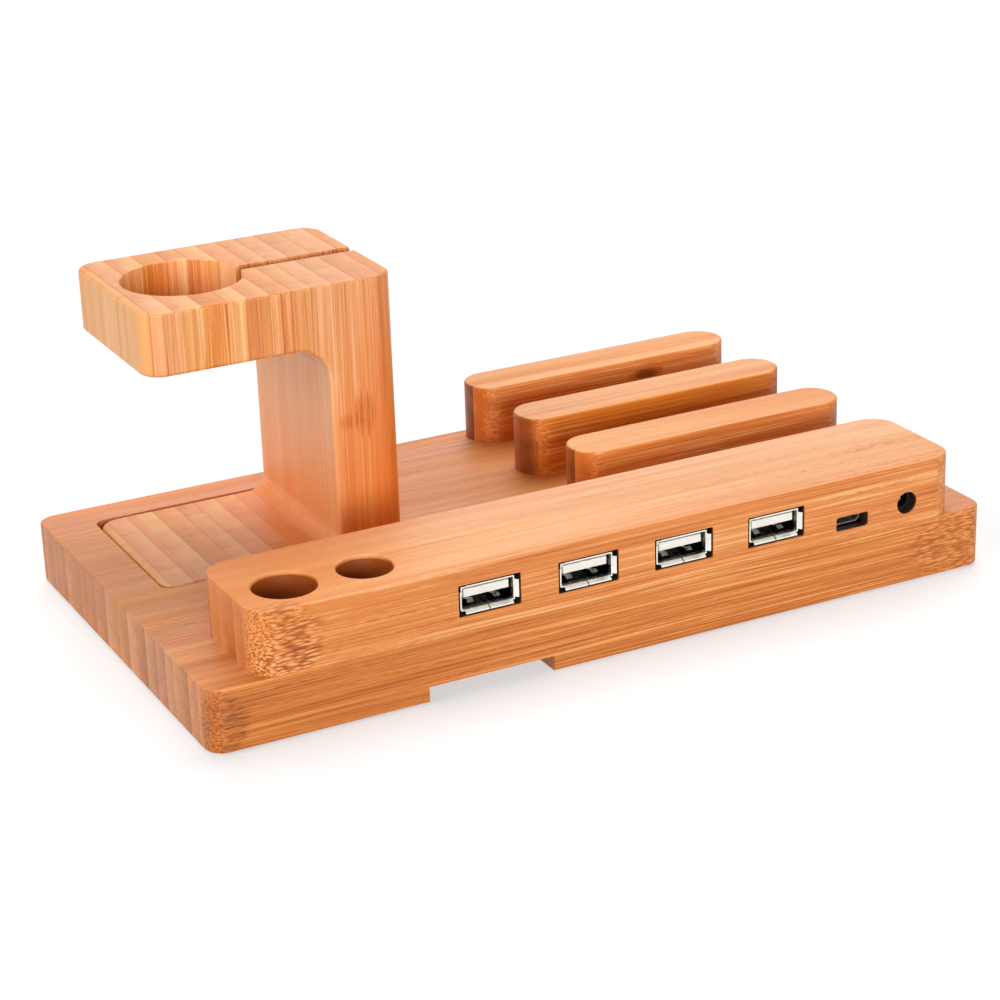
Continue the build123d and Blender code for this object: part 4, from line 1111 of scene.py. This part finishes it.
@dataclass(frozen=True)
class HubBoard:
    """The circuit board under the bar and the parts soldered to it."""

    shop: Workshop
    board: SolderMask = SolderMask(name="green_solder_mask")
    # epoxy moulded round a chip: charcoal with a fine matt grain
    chip: Moulded = Moulded(
        name="moulded_black_epoxy", colour="17171A", second="1E1E20", rough=0.5, relief=0.02)
    # drawn aluminium: a cool soft mirror
    can: PlatedMetal = PlatedMetal(name="aluminium_can", colour="CFD2D4", rough=0.26)
    # fired ceramic: tan and slightly glossy
    ceramic: Moulded = Moulded(name="fired_ceramic", colour="B59B7C", second="A88C6C", rough=0.45)
    # pressed ferrite powder: dark grey, grainy and dull
    ferrite: Moulded = Moulded(
        name="pressed_ferrite", colour="33322F", second="3C3A36", rough=0.6, relief=0.03)

    def dress(self) -> None:
        """Finish the board and its parts."""
        self.shop.dress(self.board, "hub_board")
        self.shop.dress(self.chip, "hub_controller_chip", "power_regulator_chip", "protection_diode",
                        "chip_resistors")
        self.shop.dress(self.can, "clock_crystal", "filter_capacitors")
        self.shop.dress(self.ceramic, "chip_capacitors")
        self.shop.dress(self.ferrite, "power_inductor")


@dataclass(frozen=True)
class Lamp:
    """A soft lamp far away: where it hangs, its light on a face turned to it, its width in degrees."""

    name: str
    towards: Place
    strength: float
    spread: float

    def hang(self) -> None:
        """Put the lamp into the scene."""
        data = bpy.data.lights.new(self.name, "SUN")
        data.energy = self.strength * math.pi
        data.angle = math.radians(self.spread)
        lamp = bpy.data.objects.new(self.name, data)
        lamp.rotation_mode = "QUATERNION"
        lamp.rotation_quaternion = Vector(self.towards).to_track_quat("Z", "Y")
        bpy.context.scene.collection.objects.link(lamp)


@dataclass(frozen=True)
class Studio:
    """The floor, lamps, white surroundings and camera. Places and sizes are in metres."""

    place: Place = (-0.267626, -0.530891, 0.255409)
    right: Place = (0.8877560, -0.4592121, -0.0318363)
    down: Place = (-0.1963734, -0.3152635, -0.9284646)
    forward: Place = (0.4163254, 0.8305018, -0.3700541)
    lens_mm: float = 95.295
    sensor_mm: float = 36.0
    nearest: float = 0.01
    farthest: float = 20.0
    floor_half: float = 6.0
    paper_grey: str = "BCBCBC"
    paper_glow: float = 0.54
    white: str = "FFFFFF"
    ambient: float = 0.14
    lamps: tuple[Lamp, ...] = (
        Lamp("overhead_softbox", (0.24, 0.40, 0.88), 0.66, 50.0),
        Lamp("front_softbox", (-0.20, -0.97, 0.17), 0.68, 24.0),
        Lamp("left_softbox", (-0.86, -0.10, 0.50), 0.46, 50.0),
    )

    def camera(self) -> None:
        """Put the camera where the photograph was taken from."""
        data = bpy.data.cameras.new("camera")
        data.lens, data.sensor_width = self.lens_mm, self.sensor_mm
        data.clip_start, data.clip_end = self.nearest, self.farthest
        camera = bpy.data.objects.new("camera", data)
        turn = Matrix((self.right, -Vector(self.down), -Vector(self.forward))).transposed()
        camera.matrix_world = Matrix.Translation(self.place) @ turn.to_4x4()
        bpy.context.scene.collection.objects.link(camera)
        bpy.context.scene.camera = camera

    @staticmethod
    def seen_directly(tree: Tree) -> Socket:
        """Give 1 for rays from the camera, from a reflection or through glass, else 0."""
        rays = add_node(tree, "ShaderNodeLightPath", output="Is Camera Ray").node.outputs
        seen = add_node(tree, "ShaderNodeMath", {0: rays["Is Camera Ray"], 1: rays["Is Glossy Ray"]},
                        operation="MAXIMUM")
        return add_node(tree, "ShaderNodeMath", {0: seen, 1: rays["Is Transmission Ray"]},
                        operation="MAXIMUM")

    def surroundings(self) -> None:
        """Make the world white to the eye and softly lit."""
        world = bpy.data.worlds.new("studio")
        world.use_nodes = True
        tree = world.node_tree
        background = tree.nodes["Background"]
        strength = add_node(tree, "ShaderNodeMapRange",
                            {"Value": self.seen_directly(tree), "To Min": self.ambient, "To Max": 1.0})
        background.inputs["Color"].default_value = linear(self.white)
        tree.links.new(strength, background.inputs["Strength"])
        bpy.context.scene.world = world

    def floor(self, height: float) -> None:
        """Lay a pale floor under the feet.

        Args:
            height: The floor's height in metres.
        """
        mesh = bpy.data.meshes.new("floor")
        shape = bmesh.new()
        bmesh.ops.create_grid(shape, x_segments=1, y_segments=1, size=self.floor_half)
        bmesh.ops.translate(shape, verts=shape.verts, vec=(0, 0, height))
        shape.to_mesh(mesh)
        shape.free()
        floor = bpy.data.objects.new("floor", mesh)
        bpy.context.scene.collection.objects.link(floor)
        mesh.materials.append(self.paper())
        floor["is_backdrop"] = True

    def paper(self) -> bpy.types.Material:
        """Make the floor's matt white paper, which looks white without lighting the object more."""
        material = bpy.data.materials.new("white_paper")
        material.use_nodes = True
        tree = material.node_tree
        tree.nodes.clear()
        matt = add_node(tree, "ShaderNodeBsdfDiffuse", {"Color": linear(self.paper_grey)})
        glow = add_node(tree, "ShaderNodeMapRange",
                        {"Value": self.seen_directly(tree), "To Min": 0.0, "To Max": self.paper_glow})
        glow = add_node(tree, "ShaderNodeEmission", {"Color": linear(self.white), "Strength": glow})
        both = add_node(tree, "ShaderNodeAddShader", {0: matt, 1: glow})
        out = tree.nodes.new("ShaderNodeOutputMaterial")
        tree.links.new(both, out.inputs["Surface"])
        return material

    def build(self, floor_height: float) -> None:
        """Make the whole studio.

        Args:
            floor_height: The floor's height in metres.
        """
        self.camera()
        self.surroundings()
        self.floor(floor_height)
        for lamp in self.lamps:
            lamp.hang()
        bpy.context.scene.view_settings.view_transform = "Standard"
        log.info("studio is set")


def main() -> None:
    """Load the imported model, dress every piece and set the studio round it."""
    logging.basicConfig(level=logging.INFO, format="%(name)s: %(message)s")
    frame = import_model()
    low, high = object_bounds()
    shop = Workshop(frame)
    Studio().build(low.z)
    for assembly in (BaseBoard(shop), HubBar(shop), DeviceSlats(shop), WatchStand(shop), Sockets(shop),
                     HubBoard(shop)):
        assembly.dress()


if __name__ == "__main__":
    main()
